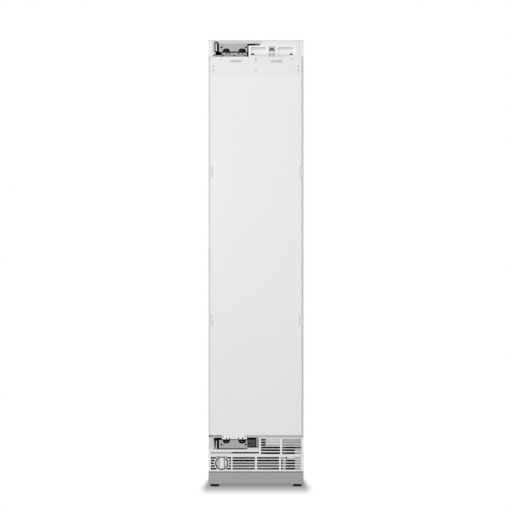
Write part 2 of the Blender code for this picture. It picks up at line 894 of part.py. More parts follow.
def upright(name, centre, radius, low_z, high_z, surface=None, sides=ROUND_SIDES):
    return rod(name, (centre.x, centre.y, low_z), (centre.x, centre.y, high_z), radius, surface, sides)


def hinge_bracket(name, level, way):
    """the door's half of a hinge: a plate on the door's edge, a front lip with screws and a bent arm"""
    low, high = span(level, way, 0, BRACKET_T)
    left, right = from_side(BRACKET_LEFT), from_side(BRACKET_LEFT + BRACKET_W)
    front = FACE + BRACKET_SETBACK
    plate = block(name, (left, front, low), (right, front + BRACKET_DEPTH, high), zinc_steel())
    lip_low, lip_high = span(level, way, 0, BRACKET_LIP_H)
    weld(plate, block(name + "_lip", (left, front, lip_low), (right, front + BRACKET_LIP_T, lip_high)))
    pivot = pivot_point(level)
    elbow = polar(pivot, NECK_L, NECK_ANGLE)
    root = Vector((left + ARM_W, elbow.y, level))
    weld(plate, bar(name + "_neck", pivot, elbow, ARM_W, low, high))
    weld(plate, bar(name + "_arm", elbow, root, ARM_W, low, high))
    weld(plate, upright(name + "_eye", pivot, KNUCKLE_R, low, high))
    holes_low, holes_high = low - OVERRUN, high + OVERRUN
    cut(plate, upright(name + "_bore", pivot, PIVOT_R + PIN_CLEAR, holes_low, holes_high))
    rows = ((SCREW_ROW_SHARES, SCREW_ROW_RISE_SHARE), (SCREW_LOW_SHARES, SCREW_LOW_RISE_SHARE))
    screws = [(left + BRACKET_W * share, front, level + way * BRACKET_LIP_H * rise)
              for shares, rise in rows for share in shares]
    cut(plate, many_rods(name + "_screws", screws, SCREW_R, 2 * BRACKET_LIP_T + OVERRUN, sides=SMALL_SIDES))
    return plate


def hinge_block(name, level, way):
    """the cabinet's half: a roof plate on legs, the pivot pin and the rounded tower beside the cover"""
    low, high = span(level, way, ROOF_GAP, ROOF_GAP + ROOF_T)
    left, right = from_side(BLOCK_LEFT), from_side(BLOCK_LEFT + BLOCK_W)
    front = roof_front()
    rear = from_face(BLOCK_DEPTH)
    roof = block(name, (left, front, low), (right, rear, high), zinc_steel())
    leg_low, leg_high = span(level, way, 0, ROOF_GAP + ROOF_T / 2)
    weld(roof, block(name + "_rear_leg", (left, rear - LEG_T, leg_low), (right, rear, leg_high)))
    pin_low, pin_high = span(level, way, FIT, ROOF_GAP + ROOF_T / 2)
    weld(roof, upright(name + "_pin", pivot_point(level), PIVOT_R, pin_low, pin_high))
    weld(roof, hinge_tower(name + "_tower", level, way))
    return roof


def roof_front():
    """the first place behind the fascia where a hinge plate may start"""
    return FACE + SHEET_T + FIT + FASCIA_T + FIT


def hinge_tower(name, level, way):
    """an upright with a round far end at the left of the hinge, open behind the corner flange"""
    low, high = span(level, way, ROOF_GAP, ROOF_GAP + TOWER_H)
    points = rounded(TOWER_W, TOWER_H, TOWER_W / 2 - WELD, True)
    if way < 0:
        points = [(x, -y) for x, y in points]
    front = roof_front()
    thick = HINGE_COVER_T + 2 * SHEET_T
    at = (from_side(TOWER_LEFT) + TOWER_W / 2, front + thick / 2, (low + high) / 2)
    tower = outline_plate(name, points, at, "y", thick)
    slot_right = from_side(TOWER_LEFT + TOWER_W - TOWER_SLOT_IN)
    slot_low, slot_high = span(level, way, ROOF_GAP + ROOF_T + FIT, ROOF_GAP + TOWER_H - TOWER_W / 2)
    cut(tower, block(name + "_slot", (slot_right - TOWER_SLOT_W, front - OVERRUN, slot_low),
                     (slot_right, front + thick + OVERRUN, slot_high)))
    bar_low, bar_high = span(level, way, ROOF_GAP + ROOF_T, ROOF_GAP + TOWER_H - TOWER_BAR_END)
    centre = (from_side(TOWER_LEFT + TOWER_BAR_IN + TOWER_BAR_W / 2), front, (bar_low + bar_high) / 2)
    rail = rounded(TOWER_BAR_W, bar_high - bar_low, TOWER_BAR_W / 2 - WELD)
    return weld(tower, outline_plate(name + "_bar", rail, centre, "y", 2 * TOWER_BAR_OUT))


def hinge_cover(name, level, way):
    """the dark plate in front of the hinge, with two domed openings and two small holes"""
    low, high = span(level, way, ROOF_GAP, ROOF_GAP + HINGE_COVER_H)
    left, right = from_side(HINGE_COVER_LEFT), from_side(HINGE_COVER_LEFT + HINGE_COVER_W)
    front = roof_front() - FIT - HINGE_COVER_T
    plate = block(name, (left, front, low), (right, front + HINGE_COVER_T, high), dark_steel())
    near = level + way * ROOF_GAP
    for label, x in (("left", left + DOME_LEFT + DOME_W / 2), ("right", right - DOME_RIGHT - DOME_W / 2)):
        points = rounded(DOME_W, 2 * DOME_H, DOME_ROUND)
        at = (x, front, near)
        cut(plate, outline_plate("%s_dome_%s" % (name, label), points, at, "y", 2 * HINGE_COVER_T + OVERRUN))
    rise = near + way * COVER_SCREW_RISE
    small = [(left + COVER_SCREW_LEFT, front, rise), (right - COVER_SCREW_RIGHT, front, rise)]
    cut(plate, many_rods(name + "_holes", small, COVER_SCREW_R, 2 * HINGE_COVER_T + OVERRUN))
    return plate


def top_hinge(door):
    level = DOOR_TOP + FIT
    bracket = hinge_bracket("top_hinge_bracket", level, 1)
    pin_base = polar(pivot_point(level), CRANK_R, NECK_ANGLE)
    weld(bracket, upright("bracket_link_pin", pin_base, LINK_PIN_R, level + BRACKET_T / 2, link_top() + PIN_CLEAR,
                          sides=SMALL_SIDES))
    carry(door, bracket)
    roof = hinge_block("top_hinge_block", level, 1)
    shaft = crank_axis(level)
    weld(roof, upright("crank_shaft", shaft, SHAFT_R, crank_base() + FIT, level + ROOF_GAP + ROOF_T / 2))
    hinge_cover("top_hinge_cover", level, 1)
    closer_crank()
    closer_link()


def bottom_hinge(door):
    level = DOOR_BASE - FIT
    carry(door, hinge_bracket("bottom_hinge_bracket", level, -1))
    roof = hinge_block("bottom_hinge_block", level, -1)
    low, high = span(level, -1, DARK_BOX_DROP, DARK_BOX_DROP + DARK_BOX_H)
    left, right = from_side(DARK_BOX_LEFT), from_side(DARK_BOX_LEFT + DARK_BOX_W)
    front = roof_front() + DARK_BOX_SET
    weld(roof, block("dark_box", (left, front, low), (right, front + DARK_BOX_DEPTH, high)))
    hinge_cover("bottom_hinge_cover", level, -1)


def link_base():
    return DOOR_TOP + FIT + BRACKET_T + LINK_PLAY


def link_top():
    return link_base() + LINK_T


def crank_base():
    return link_top() + LINK_PLAY


def crank_axis(z):
    return polar(pivot_point(z), LINK_L, LINK_ANGLE)


def closer_crank():
    """the short arm on the cabinet that stays parallel to the bracket's arm"""
    axis = crank_axis(crank_base())
    pin = polar(axis, CRANK_R, NECK_ANGLE)
    low, high = crank_base(), crank_base() + CRANK_T
    crank = bar("closer_crank", axis, pin, ARM_W, low, high, zinc_steel())
    weld(crank, upright("crank_eye", axis, CRANK_EYE_R, low, high))
    weld(crank, upright("crank_pin", pin, LINK_PIN_R, link_base() - PIN_CLEAR, low + CRANK_T / 2,
                        sides=SMALL_SIDES))
    cut(crank, upright("crank_bore", axis, SHAFT_R + PIN_CLEAR, low - OVERRUN, high + OVERRUN))
    carry(axis_empty("closer_crank_axis", axis), crank)


def closer_link():
    """the bar that joins the bracket's pin to the crank's pin"""
    start = polar(pivot_point(link_base()), CRANK_R, NECK_ANGLE)
    end = polar(crank_axis(link_base()), CRANK_R, NECK_ANGLE)
    low, high = link_base(), link_top()
    link = bar("closer_link", start, end, LINK_W, low, high, zinc_steel())
    for name, centre in (("near", start), ("far", end)):
        weld(link, upright("link_eye_" + name, centre, LINK_EYE_R, low, high, sides=SMALL_SIDES))
        cut(link, upright("link_bore_" + name, centre, LINK_PIN_R + PIN_CLEAR, low - OVERRUN, high + OVERRUN,
                          sides=SMALL_SIDES))
    carry(axis_empty("closer_link_axis", end), link)


# Door

def door_leaf(door):
    carry(door, door_panel(), door_insulation(), door_liner(), door_gasket(), fixing_plate())
    carry(door, *side_clips())
    for number, rise in enumerate(rack_rises(), 1):
        carry(door, door_rack("door_rack_%d" % number, rise))


def door_outline(inset):
    """the door seen from above, its front corners sloped back in a narrow strip"""
    half = WIDTH / 2 - inset
    front = -DOOR_RETURN / 2 + inset
    return [(-half, DOOR_RETURN / 2), (-half, front + EDGE_STRIP_DROP), (EDGE_STRIP_W - WIDTH / 2, front),
            (WIDTH / 2 - EDGE_STRIP_W, front), (half, front + EDGE_STRIP_DROP), (half, DOOR_RETURN / 2)]


def door_panel():
    at = (0, FACE + DOOR_RETURN / 2, (DOOR_BASE + DOOR_TOP) / 2)
    panel = outline_plate("door_panel", door_outline(0), at, "z", DOOR_TOP - DOOR_BASE, white_paint())
    room = outline_plate("panel_room", [(x, y + (OVERRUN if y > 0 else 0)) for x, y in door_outline(DOOR_SKIN)],
                         at, "z", DOOR_TOP - DOOR_BASE - 2 * DOOR_SKIN)
    return cut(panel, room)


def plug_box(inset, depth):
    """the raised middle of the door's inside, which enters the cavity's mouth"""
    low = (CAVITY_LEFT + PLUG_INSET + inset, DOOR_REAR - OVERRUN, CAVITY_BASE + PLUG_INSET + inset)
    return low, (CAVITY_RIGHT - PLUG_INSET - inset, DOOR_REAR + depth, CAVITY_TOP - PLUG_INSET - inset)


def door_insulation():
    gap = DOOR_SKIN + FIT
    side = DOOR_LINER_T + FIT + FIT
    at = (0, FACE + DOOR_RETURN / 2, (DOOR_BASE + DOOR_TOP) / 2)
    fill = outline_plate("door_insulation", door_outline(gap), at, "z", DOOR_TOP - DOOR_BASE - 2 * gap, foam())
    low = (LEFT + side, FACE + DOOR_RETURN - OVERRUN, DOOR_BASE + side)
    high = (RIGHT - side, DOOR_REAR - DOOR_LINER_T - FIT, DOOR_TOP - side)
    weld(fill, block("insulation_step", low, high))
    low, high = plug_box(DOOR_LINER_T + FIT, PLUG_H - DOOR_LINER_T - FIT)
    return weld(fill, block("insulation_plug", low, high))


def door_liner():
    """the moulded inside of the door, with ribs and ledges that carry the racks"""
    side = FIT
    base = FACE + DOOR_RETURN + FIT
    liner = block("door_liner", (LEFT + side, base, DOOR_BASE + side), (RIGHT - side, DOOR_REAR, DOOR_TOP - side),
                  white_plastic())
    weld(liner, block("liner_plug", *plug_box(0, PLUG_H)))
    wall = side + DOOR_LINER_T
    room = block("liner_back_room", (LEFT + wall, base - OVERRUN, DOOR_BASE + wall),
                 (RIGHT - wall, DOOR_REAR - DOOR_LINER_T, DOOR_TOP - wall))
    cut(liner, room, block("plug_room", *plug_box(DOOR_LINER_T, PLUG_H - DOOR_LINER_T)))
    for sign in (-1, 1):
        label = "left" if sign < 0 else "right"
        weld(liner, rack_rib("rib_" + label, sign))
        for number, rise in enumerate(rack_rises(), 1):
            weld(liner, rack_ledge("rack_ledge_%s_%d" % (label, number), sign, rise))
    return liner


def rack_half():
    return WIDTH / 2 - RACK_SIDE


def rack_rib(name, sign):
    inner = sign * (rack_half() + FIT)
    outer = inner + sign * RIB_W
    low = (min(inner, outer), DOOR_REAR + PLUG_H - DOOR_LINER_T / 2, rack_rises()[0] - RIB_SPARE)
    high = (max(inner, outer), DOOR_REAR + PLUG_H + RIB_DEPTH, rack_rises()[-1] + RACK_H + RIB_SPARE)
    return soften(block(name, low, high), RIB_ROUND)


def rack_ledge(name, sign, rise):
    inner = sign * (rack_half() - RACK_LEDGE_W)
    outer = sign * (rack_half() + FIT + RIB_W / 2)
    low = (min(inner, outer), DOOR_REAR + PLUG_H - DOOR_LINER_T / 2, rise - FIT - RACK_LEDGE_H)
    high = (max(inner, outer), DOOR_REAR + PLUG_H + RIB_DEPTH - RIB_ROUND, rise - FIT)
    return block(name, low, high)


def door_rack(name, rise):
    """an open bin on the door with a low front wall"""
    half = rack_half()
    back = DOOR_REAR + PLUG_H + FIT
    low, high = (-half, back, rise), (half, back + RACK_DEPTH, rise + RACK_H)
    rack = block(name, low, high, clear_plastic())
    soften(rack, EDGE_ROUND)
    wall = RACK_WALL
    room = block(name + "_room", (wall - half, back + wall, rise + wall),
                 (half - wall, back + RACK_DEPTH - wall, rise + RACK_H + OVERRUN))
    return cut(rack, room)


def door_gasket():
    """the seal that runs round the cavity's mouth on the door's inside"""
    over = SEAL_W - SEAL_OVERLAP
    low = (CAVITY_LEFT - over, DOOR_REAR + FIT, CAVITY_BASE - over)
    high = (CAVITY_RIGHT + over, BODY_FACE - FIT, CAVITY_TOP + over)
    seal = block("door_gasket", low, high, rubber())
    soften(seal, EDGE_ROUND * 2)
    inner = SEAL_OVERLAP
    hole = block("gasket_mouth", (CAVITY_LEFT + inner, DOOR_REAR - OVERRUN, CAVITY_BASE + inner),
                 (CAVITY_RIGHT - inner, BODY_FACE + OVERRUN, CAVITY_TOP - inner))
    return cut(seal, hole)


def fixing_plate():
    """the plate at the door's head that carries a furniture panel"""
    width = WIDTH - 2 * FIXING_SIDE
    thick = FIXING_T - FIT
    slot = rounded(FIXING_SLOT_W, FIXING_SLOT_H, FIXING_SLOT_H / 2 - WELD)
    at = (0, FACE - FIT - thick / 2, DOOR_TOP - FIXING_H / 2)
    plate = outline_plate("fixing_plate", rounded(width, FIXING_H, FIXING_ROUND, True),
                          at, "y", thick, white_paint())
    for name, sign in (("left", -1), ("right", 1)):
        x = sign * (width / 2 - FIXING_SLOT_IN - FIXING_SLOT_W / 2)
        place = (x, at[1], DOOR_TOP - FIXING_SLOT_DROP)
        cut(plate, outline_plate("fixing_slot_" + name, slot, place, "y", thick + OVERRUN))
    return plate


def side_clips():
    """four small plates near the door's edges, each with a shallow open pocket"""
    made = []
    for label, rise in zip(("lower", "upper"), CLIP_RISES):
        for side, sign in (("left", -1), ("right", 1)):
            x = sign * (WIDTH / 2 - CLIP_SIDE - CLIP_W / 2)
            name = "side_clip_%s_%s" % (label, side)
            low = (x - CLIP_W / 2, FACE - FIT - CLIP_T, rise - CLIP_H / 2)
            clip = block(name, low, (x + CLIP_W / 2, FACE - FIT, rise + CLIP_H / 2), zinc_steel())
            room_low = (x - CLIP_W / 2 + CLIP_LIP, FACE - CLIP_T - OVERRUN, rise - CLIP_H / 2 + CLIP_LIP)
            room_high = (x + CLIP_W / 2 - CLIP_LIP, FACE - FIT - CLIP_T / 2, rise + CLIP_H / 2 - CLIP_LIP)
            made.append(cut(clip, block(name + "_pocket", room_low, room_high)))
    return made


# Grilles, toe kick and base

def slot_rows(first, pitch, rows, columns, low_y, high_y):
    """a box for each slot of a grille, row by row"""
    boxes = []
    for row in range(rows):
        z = first + pitch * row
        for left, right in columns:
            boxes.append(((left, low_y, z - SLOT_H / 2), (right, high_y, z + SLOT_H / 2)))
    return boxes


def grille_depth():
    return FACE + GRILLE_SETBACK, FACE + GRILLE_SETBACK + GRILLE_T


def upper_grille():
    front, back = grille_depth()
    grille = block("upper_grille", (LEFT, front, UPPER_BASE), (RIGHT, back, UPPER_TOP), white_paint())
    low_y, high_y = front - OVERRUN, back + OVERRUN
    right = RIGHT - SLOT_EDGE
    width = (UPPER_SLOTS_W - SLOT_MIDDLE_GAP) / 2
    columns = [(right - UPPER_SLOTS_W, right - UPPER_SLOTS_W + width), (right - width, right)]
    boxes = slot_rows(UPPER_BASE + UPPER_FIRST, UPPER_PITCH, UPPER_ROWS, columns, low_y, high_y)
    long_slot = [(LEFT + SLOT_EDGE, right - UPPER_SLOTS_W - SLOT_MIDDLE_GAP)]
    boxes += slot_rows(UPPER_BASE + UPPER_FIRST, UPPER_PITCH, 1, long_slot, low_y, high_y)
    notch = block("hinge_notch", (from_side(NOTCH_LEFT), low_y, UPPER_TOP - NOTCH_H),
                  (from_side(NOTCH_LEFT + NOTCH_W), high_y, UPPER_TOP + OVERRUN))
    cut(grille, many_blocks("upper_slots", boxes), notch)


def filter_point(back):
    return Vector((from_side(FILTER_IN), FACE + back, FILTER_RISE))


def lower_grille():
    front, back = grille_depth()
    grille = block("lower_grille", (LEFT, front, LOWER_BASE), (RIGHT, back, LOWER_TOP), white_paint())
    low_y, high_y = front - OVERRUN, back + OVERRUN
    columns = [(from_side(WIDTH * start), from_side(WIDTH * end))
               for start, end in zip(LOWER_START_SHARES, LOWER_END_SHARES)]
    boxes = slot_rows(LOWER_BASE + LOWER_FIRST, LOWER_PITCH, LOWER_ROWS, columns, low_y, high_y)
    cut(grille, many_blocks("lower_slots", boxes))
    land = rod("filter_land", filter_point(GRILLE_SETBACK + WELD), filter_point(GRILLE_SETBACK + GRILLE_T - WELD),
               FILTER_LAND_R)
    spare = many_blocks("land_trim", [
        ((LEFT, low_y, LOWER_TOP), (RIGHT, high_y, LOWER_TOP + FILTER_LAND_R)),
        ((LEFT, low_y, LOWER_BASE - FILTER_LAND_R), (RIGHT, high_y, LOWER_BASE))])
    weld(grille, land)
    hole = rod("filter_hole", filter_point(-OVERRUN), filter_point(GRILLE_SETBACK + GRILLE_T + OVERRUN),
               FILTER_TUBE_R + FIT)
    cut(grille, spare, hole)


def toe_kick():
    front, back = grille_depth()
    kick = block("toe_kick", (LEFT, front, TOE_LIFT), (RIGHT, back, TOE_TOP), grey_paint())
    soften(kick, PANEL_ROUND)


def base_floor():
    return BASE_RISE + BASE_SHEET


def base_frame():
    """the sheet pan that carries the cabinet and the machinery, vented at the rear"""
    front = grille_depth()[1] + FIT
    back = BACK - BASE_REAR_GAP
    pan = tray("base_frame", (LEFT, front, BASE_RISE), (RIGHT, back, DOOR_BASE - FIT), BASE_SHEET,
               ["front", "top"], grey_paint())
    feet = [(x, y, BASE_RISE) for x, y in foot_places()]
    cut(pan, many_rods("foot_holes", feet, FOOT_STUD_R + FIT, 2 * BASE_SHEET + OVERRUN, "z"))
    pitch = (DOOR_BASE - base_floor()) / (VENT_ROWS + 1)
    half = WIDTH * VENT_SHARE / 2
    rows = [base_floor() + pitch * (i + 1) for i in range(VENT_ROWS)]
    boxes = [((-half, back - BASE_SHEET - OVERRUN, z - VENT_H / 2), (half, back + OVERRUN, z + VENT_H / 2))
             for z in rows]
    cut(pan, many_blocks("rear_vents", boxes))
    weld(pan, *front_rails())


def front_rails():
    """the sill under the door, its web behind the grille, two posts and a short rail at the left"""
    front = from_face(RAIL_SET)
    back = front + RAIL_T
    top = DOOR_BASE - FIT
    end = RIGHT - BASE_SHEET / 2
    deep = from_face(DEEP_SILL_SET)
    rails = [block("deep_sill", (LEFT + BASE_SHEET / 2, deep, top - SILL_H),
                   (from_side(DEEP_SILL_RIGHT), deep + RAIL_T, top - WELD)),
             block("sill_link", (from_side(DEEP_SILL_RIGHT) - RAIL_T, front + WELD, top - SILL_H + WELD),
                   (from_side(DEEP_SILL_RIGHT) + WELD, deep + RAIL_T - WELD, top - 2 * WELD)),
             block("sill", (from_side(SILL_LEFT), front, top - SILL_H), (end, back, top - WELD)),
             block("sill_web", (from_side(SILL_WEB_LEFT), front + WELD, top - SILL_WEB_H),
                   (end, back - WELD, top))]
    for number, (inward, width) in enumerate(zip(POST_RIGHTS, POST_WIDTHS), 1):
        left = RIGHT - inward - width
        rails.append(block("post_%d" % number, (left, front + 2 * WELD, BASE_RISE + BASE_SHEET / 2),
                           (left + width, back - 2 * WELD, top - SILL_WEB_H + OVERRUN)))
    base = LEFT_RAIL_BASE
    rails.append(block("left_rail", (LEFT + BASE_SHEET / 2, front, base),
                       (from_side(LEFT_RAIL_RIGHT), back, base + LEFT_RAIL_H)))
    rails.append(block("low_rail", (from_side(LOW_RAIL_LEFT), front, BASE_RISE + BASE_SHEET / 2),
                       (from_side(LOW_RAIL_LEFT + LOW_RAIL_W), back, LOW_RAIL_TOP)))
    return rails


def foot_places():
    xs = (LEFT + FOOT_SIDE, RIGHT - FOOT_SIDE)
    ys = (from_face(FOOT_FRONT), BACK - FOOT_REAR)
    return [(x, y) for y in ys for x in xs]


def levelling_feet():
    names = ("front_left", "front_right", "rear_left", "rear_right")
    pad = FOOT_PAD_H
    profile = [(0, BASE_RISE + FOOT_STUD_TOP), (FOOT_STUD_R, BASE_RISE + FOOT_STUD_TOP),
               (FOOT_STUD_R, BASE_RISE - FIT), (FOOT_NECK_R, BASE_RISE - FIT), (FOOT_NECK_R, pad),
               (FOOT_R - FOOT_CHAMFER, pad), (FOOT_R, pad - FOOT_CHAMFER), (FOOT_R, 0), (0, 0)]
    for name, (x, y) in zip(names, foot_places()):
        turned("foot_" + name, profile, (x, y, 0), (0, 0, 1), black_plastic())


def filter_housing():
    """a tube open at the front with a collar, a closed head and two saddles on the base"""
    collar_front = GRILLE_SETBACK - FILTER_COLLAR_T - FIT
    length = FILTER_TUBE_L
    front = -collar_front
    profile = [(FILTER_MOUTH_R, front), (FILTER_COLLAR_R, front), (FILTER_COLLAR_R, front - FILTER_COLLAR_T),
               (FILTER_TUBE_R, front - FILTER_COLLAR_T), (FILTER_TUBE_R, -length), (0, -length),
               (0, FILTER_HEAD_T - length), (FILTER_BORE_R, FILTER_HEAD_T - length),
               (FILTER_BORE_R, front - FILTER_MOUTH_DEPTH), (FILTER_MOUTH_R, front - FILTER_MOUTH_DEPTH),
               (FILTER_MOUTH_R, front)]
    housing = turned("filter_housing", profile, filter_point(0), (0, -1, 0), white_plastic())
    floor = base_floor() + FIT
    for number, share in enumerate(FILTER_SADDLE_SHARES, 1):
        y = FACE + FILTER_TUBE_L * share
        centre = filter_point(0)
        low = (centre.x - FILTER_SADDLE_W / 2, y, floor)
        high = (centre.x + FILTER_SADDLE_W / 2, y + FILTER_SADDLE_T,
                centre.z - (FILTER_TUBE_R + FILTER_BORE_R) / 2)
        weld(housing, block("filter_saddle_%d" % number, low, high))


def water_filter():
    front = filter_cap()
    neck = CARTRIDGE_NECK_L
    length = FILTER_TUBE_L - FILTER_HEAD_T - FIT - front
    shoulder = CARTRIDGE_R - CARTRIDGE_NECK_R
    profile = [(0, 0), (CARTRIDGE_R, 0), (CARTRIDGE_R, shoulder - length + neck),
               (CARTRIDGE_NECK_R, neck - length), (CARTRIDGE_NECK_R, -length), (0, -length)]
    cartridge = turned("filter_cartridge", profile, filter_point(front), (0, -1, 0), white_plastic())
    carry(bpy.data.objects["filter_axis"], cartridge)


def filter_cap():
    """the round cap with an upright grip bar; gives the depth at which the cartridge starts"""
    start = CAP_SETBACK
    end = start + CAP_T
    profile = [(0, 0), (CAP_R, 0), (CAP_R, -CAP_T), (CAP_STEM_R, -CAP_T), (CAP_STEM_R, -CAP_T - CAP_STEM_L),
               (0, -CAP_T - CAP_STEM_L)]
    cap = turned("filter_cap", profile, filter_point(start), (0, -1, 0), white_plastic())
    face = filter_point(start)
    for name, sign in (("left", -1), ("right", 1)):
        cut(cap, outline_plate("grip_" + name, grip_recess(sign), face, "y", 2 * GRIP_DEPTH))
    carry(axis_empty("filter_axis", face), cap)
    return end + CAP_STEM_L + FIT


def grip_recess(sign):
    """a segment of a circle beside the grip bar"""
    radius = CAP_R - (FILTER_TUBE_R - FILTER_BORE_R)
    half = GRIP_W / 2
    limit = atan2((radius ** 2 - half ** 2) ** 0.5, half)
    points = arc(0, 0, radius, -limit, limit, 2 * ARC_STEPS)
    if sign < 0:
        points = [(-x, y) for x, y in reversed(points)]
    return points


def compressor():
    floor = base_floor() + FIT
    base = floor + COMPRESSOR_STUD_H
    centre = Vector((from_side(COMPRESSOR_IN), BACK - COMPRESSOR_REAR, base))
    radius = COMPRESSOR_R
    crown = radius * sin(pi / 4)
    height = COMPRESSOR_H
    low_side = COMPRESSOR_PLATE_T + crown / 2
    top_side = height - crown
    dome = [(radius * sin(a), top_side + crown * cos(a))
            for a in [pi / 2 * i / ARC_STEPS for i in range(ARC_STEPS + 1)]]
    profile = dome + [(radius, low_side), (radius - crown / 4, 0), (0, 0)]
    pot = turned("compressor", profile, centre, (0, 0, 1), black_plastic())
    half = COMPRESSOR_PLATE / 2
    low = (centre.x - half, centre.y - half, base)
    weld(pot, block("compressor_plate", low, (centre.x + half, centre.y + half, base + COMPRESSOR_PLATE_T)))
    inset = half - COMPRESSOR_STUD_R
    for number, (sx, sy) in enumerate(((-1, -1), (1, -1), (-1, 1), (1, 1)), 1):
        stud = Vector((centre.x + sx * inset, centre.y + sy * inset, 0))
        weld(pot, upright("compressor_stud_%d" % number, stud, COMPRESSOR_STUD_R - WELD, floor,
                          base + COMPRESSOR_PLATE_T / 2, sides=SMALL_SIDES))


def fin_outline(width, depth, fins, web):
    """a comb seen end on: a web along the back and fins standing on it"""
    pitch = width / (2 * fins - 1)
    points = [(width / 2, -depth / 2), (width / 2, depth / 2)]
    for i in range(fins):
        right = width / 2 - 2 * pitch * i
        if i > 0:
            points += [(right, web - depth / 2), (right, depth / 2)]
        points += [(right - pitch, depth / 2)]
        if i < fins - 1:
            points += [(right - pitch, web - depth / 2)]
    return points + [(-width / 2, -depth / 2)]


def condenser_centre():
    return Vector((RIGHT - CONDENSER_SIDE - CONDENSER_W / 2, 0, base_floor() + FIT + CONDENSER_H / 2))


def condenser():
    centre = condenser_centre()
    y = from_face(CONDENSER_BACK) + CONDENSER_DEPTH / 2
    points = fin_outline(CONDENSER_W, CONDENSER_DEPTH, CONDENSER_FINS, CONDENSER_DEPTH / 4)
    outline_plate("condenser", points, (centre.x, y, centre.z), "z", CONDENSER_H, aluminium())


def condenser_fan_group():
    """a square frame with a round mouth and a three-armed boss that carries the fan"""
    centre = condenser_centre()
    front = from_face(CONDENSER_BACK) + CONDENSER_DEPTH + FIT
    back = front + SHROUD_DEPTH
    low = (centre.x - CONDENSER_W / 2, front, centre.z - CONDENSER_H / 2)
    frame = block("condenser_fan_frame", low, (centre.x + CONDENSER_W / 2, back, centre.z + CONDENSER_H / 2),
                  black_plastic())
    mouth = CONDENSER_H * (1 - 2 * SHROUD_WALL_SHARE) / 2
    cut(frame, rod("fan_mouth", (centre.x, front - OVERRUN, centre.z),
                   (centre.x, back + OVERRUN, centre.z), mouth))
    weld(frame, rod("fan_frame_boss", (centre.x, back - SPIDER_T, centre.z), (centre.x, back, centre.z), FAN_BOSS_R,
                    sides=SMALL_SIDES))
    reach = mouth + OVERRUN
    low = (centre.x - reach, back - SPIDER_T + WELD, centre.z - SPIDER_W / 2)
    high = (centre.x + reach, back - WELD, centre.z + SPIDER_W / 2)
    weld(frame, block("fan_spider", low, high))
    fan_back = back - SPIDER_T - FIT
    rotor("condenser_fan", Vector((centre.x, fan_back, centre.z)), mouth - FAN_TIP_CLEAR, black_plastic())


def rotor(name, rear, tip, surface):
    """a hub with pitched blades about Y, standing in front of its rear point"""
    front = rear - Vector((0, FAN_HUB_L, 0))
    hub = rod(name, front, rear, FAN_HUB_R, surface, SMALL_SIDES)
    centre = (front + rear) / 2
    for i in range(FAN_BLADES):
        weld(hub, fan_blade("%s_blade_%d" % (name, i + 1), centre, tip, 2 * pi * i / FAN_BLADES))
    carry(axis_empty(name + "_axis", centre), hub)
    return hub


def fan_blade(name, centre, tip, angle):
    inner = FAN_HUB_R / 2
    form = block_form((inner, -FAN_BLADE_T / 2, -FAN_BLADE_CHORD / 2),
                      (tip, FAN_BLADE_T / 2, FAN_BLADE_CHORD / 2))
    bmesh.ops.transform(form, matrix=Matrix.Rotation(FAN_PITCH, 4, "X"), verts=form.verts)
    bmesh.ops.translate(form, vec=((inner + tip) / 2, 0, 0), verts=form.verts)
    bmesh.ops.transform(form, matrix=Matrix.Rotation(angle, 4, "Y"), verts=form.verts)
    return register(name, form, centre)


def drip_tray():
    left = from_side(COMPRESSOR_IN + COMPRESSOR_PLATE / 2 + TRAY_GAP)
    low = (left, BACK - TRAY_REAR - TRAY_DEPTH, base_floor() + FIT)
    high = (RIGHT - TRAY_SIDE, BACK - TRAY_REAR, base_floor() + FIT + TRAY_H)
    tray("drip_tray", low, high, TRAY_WALL, ["top"], black_plastic())


def electronics_box():
    low = (RIGHT - ELECTRONICS_SIDE - ELECTRONICS_W, from_face(ELECTRONICS_BACK), BODY_TOP + FIT)
    back = from_face(TOP_BOX_DEPTH - SHEET_T - ELECTRONICS_REAR)
    high = (RIGHT - ELECTRONICS_SIDE, back, BODY_TOP + FIT + ELECTRONICS_H)
    soften(block("electronics_box", low, high, white_plastic()), EDGE_ROUND)


# Fittings of the freezing space

def storage_levels():
    """name, base and height of the drawers and the ice bin, from the cavity's floor upward"""
    rises = []
    base = CAVITY_BASE + DRAWER_LIFT
    for name, height in (("drawer_lower", DRAWER_H), ("drawer_middle", DRAWER_H), ("drawer_upper", DRAWER_H),
                         ("ice_bin", ICE_BIN_H)):
        rises.append((name, base, height))
        base += height + DRAWER_SPACE
    return rises


def drawer_back():
    return CAVITY_BACK - DRAWER_REAR


def drawers():
    for name, base, height in storage_levels():
        carry(axis_empty(name + "_slide", (0, from_face(DRAWER_SET), base)), drawer(name, base, height))


def drawer(name, base, height):
    """an open tub with side flanges that ride on the runners and a grip hole in its front"""
    half = WIDTH / 2 - DRAWER_SIDE
    front = from_face(DRAWER_SET)
    back = drawer_back()
    wall = DRAWER_WALL
    tub = block(name, (-half, front, base), (half, back, base + height), clear_plastic())
    soften(tub, EDGE_ROUND)
    top = base + height - DRAWER_FLANGE_DROP
    for label, sign in (("left", -1), ("right", 1)):
        inner, outer = sign * (half - wall / 2), sign * (half + DRAWER_FLANGE_W)
        low = (min(inner, outer), front + DRAWER_FLANGE_SET, top - DRAWER_FLANGE_T)
        weld(tub, block("%s_flange_%s" % (name, label), low, (max(inner, outer), back - wall, top)))
    room_high = (half - wall, back - wall, base + height + OVERRUN)
    cut(tub, block(name + "_room", (wall - half, front + wall, base + wall), room_high))
    at = (0, front, base + height - GRIP_HOLE_DROP - GRIP_HOLE_H / 2)
    grip = rounded(GRIP_HOLE_W, GRIP_HOLE_H, GRIP_HOLE_H / 2 - WELD)
    cut(tub, outline_plate(name + "_grip", grip, at, "y", 2 * wall + OVERRUN))
    return tub


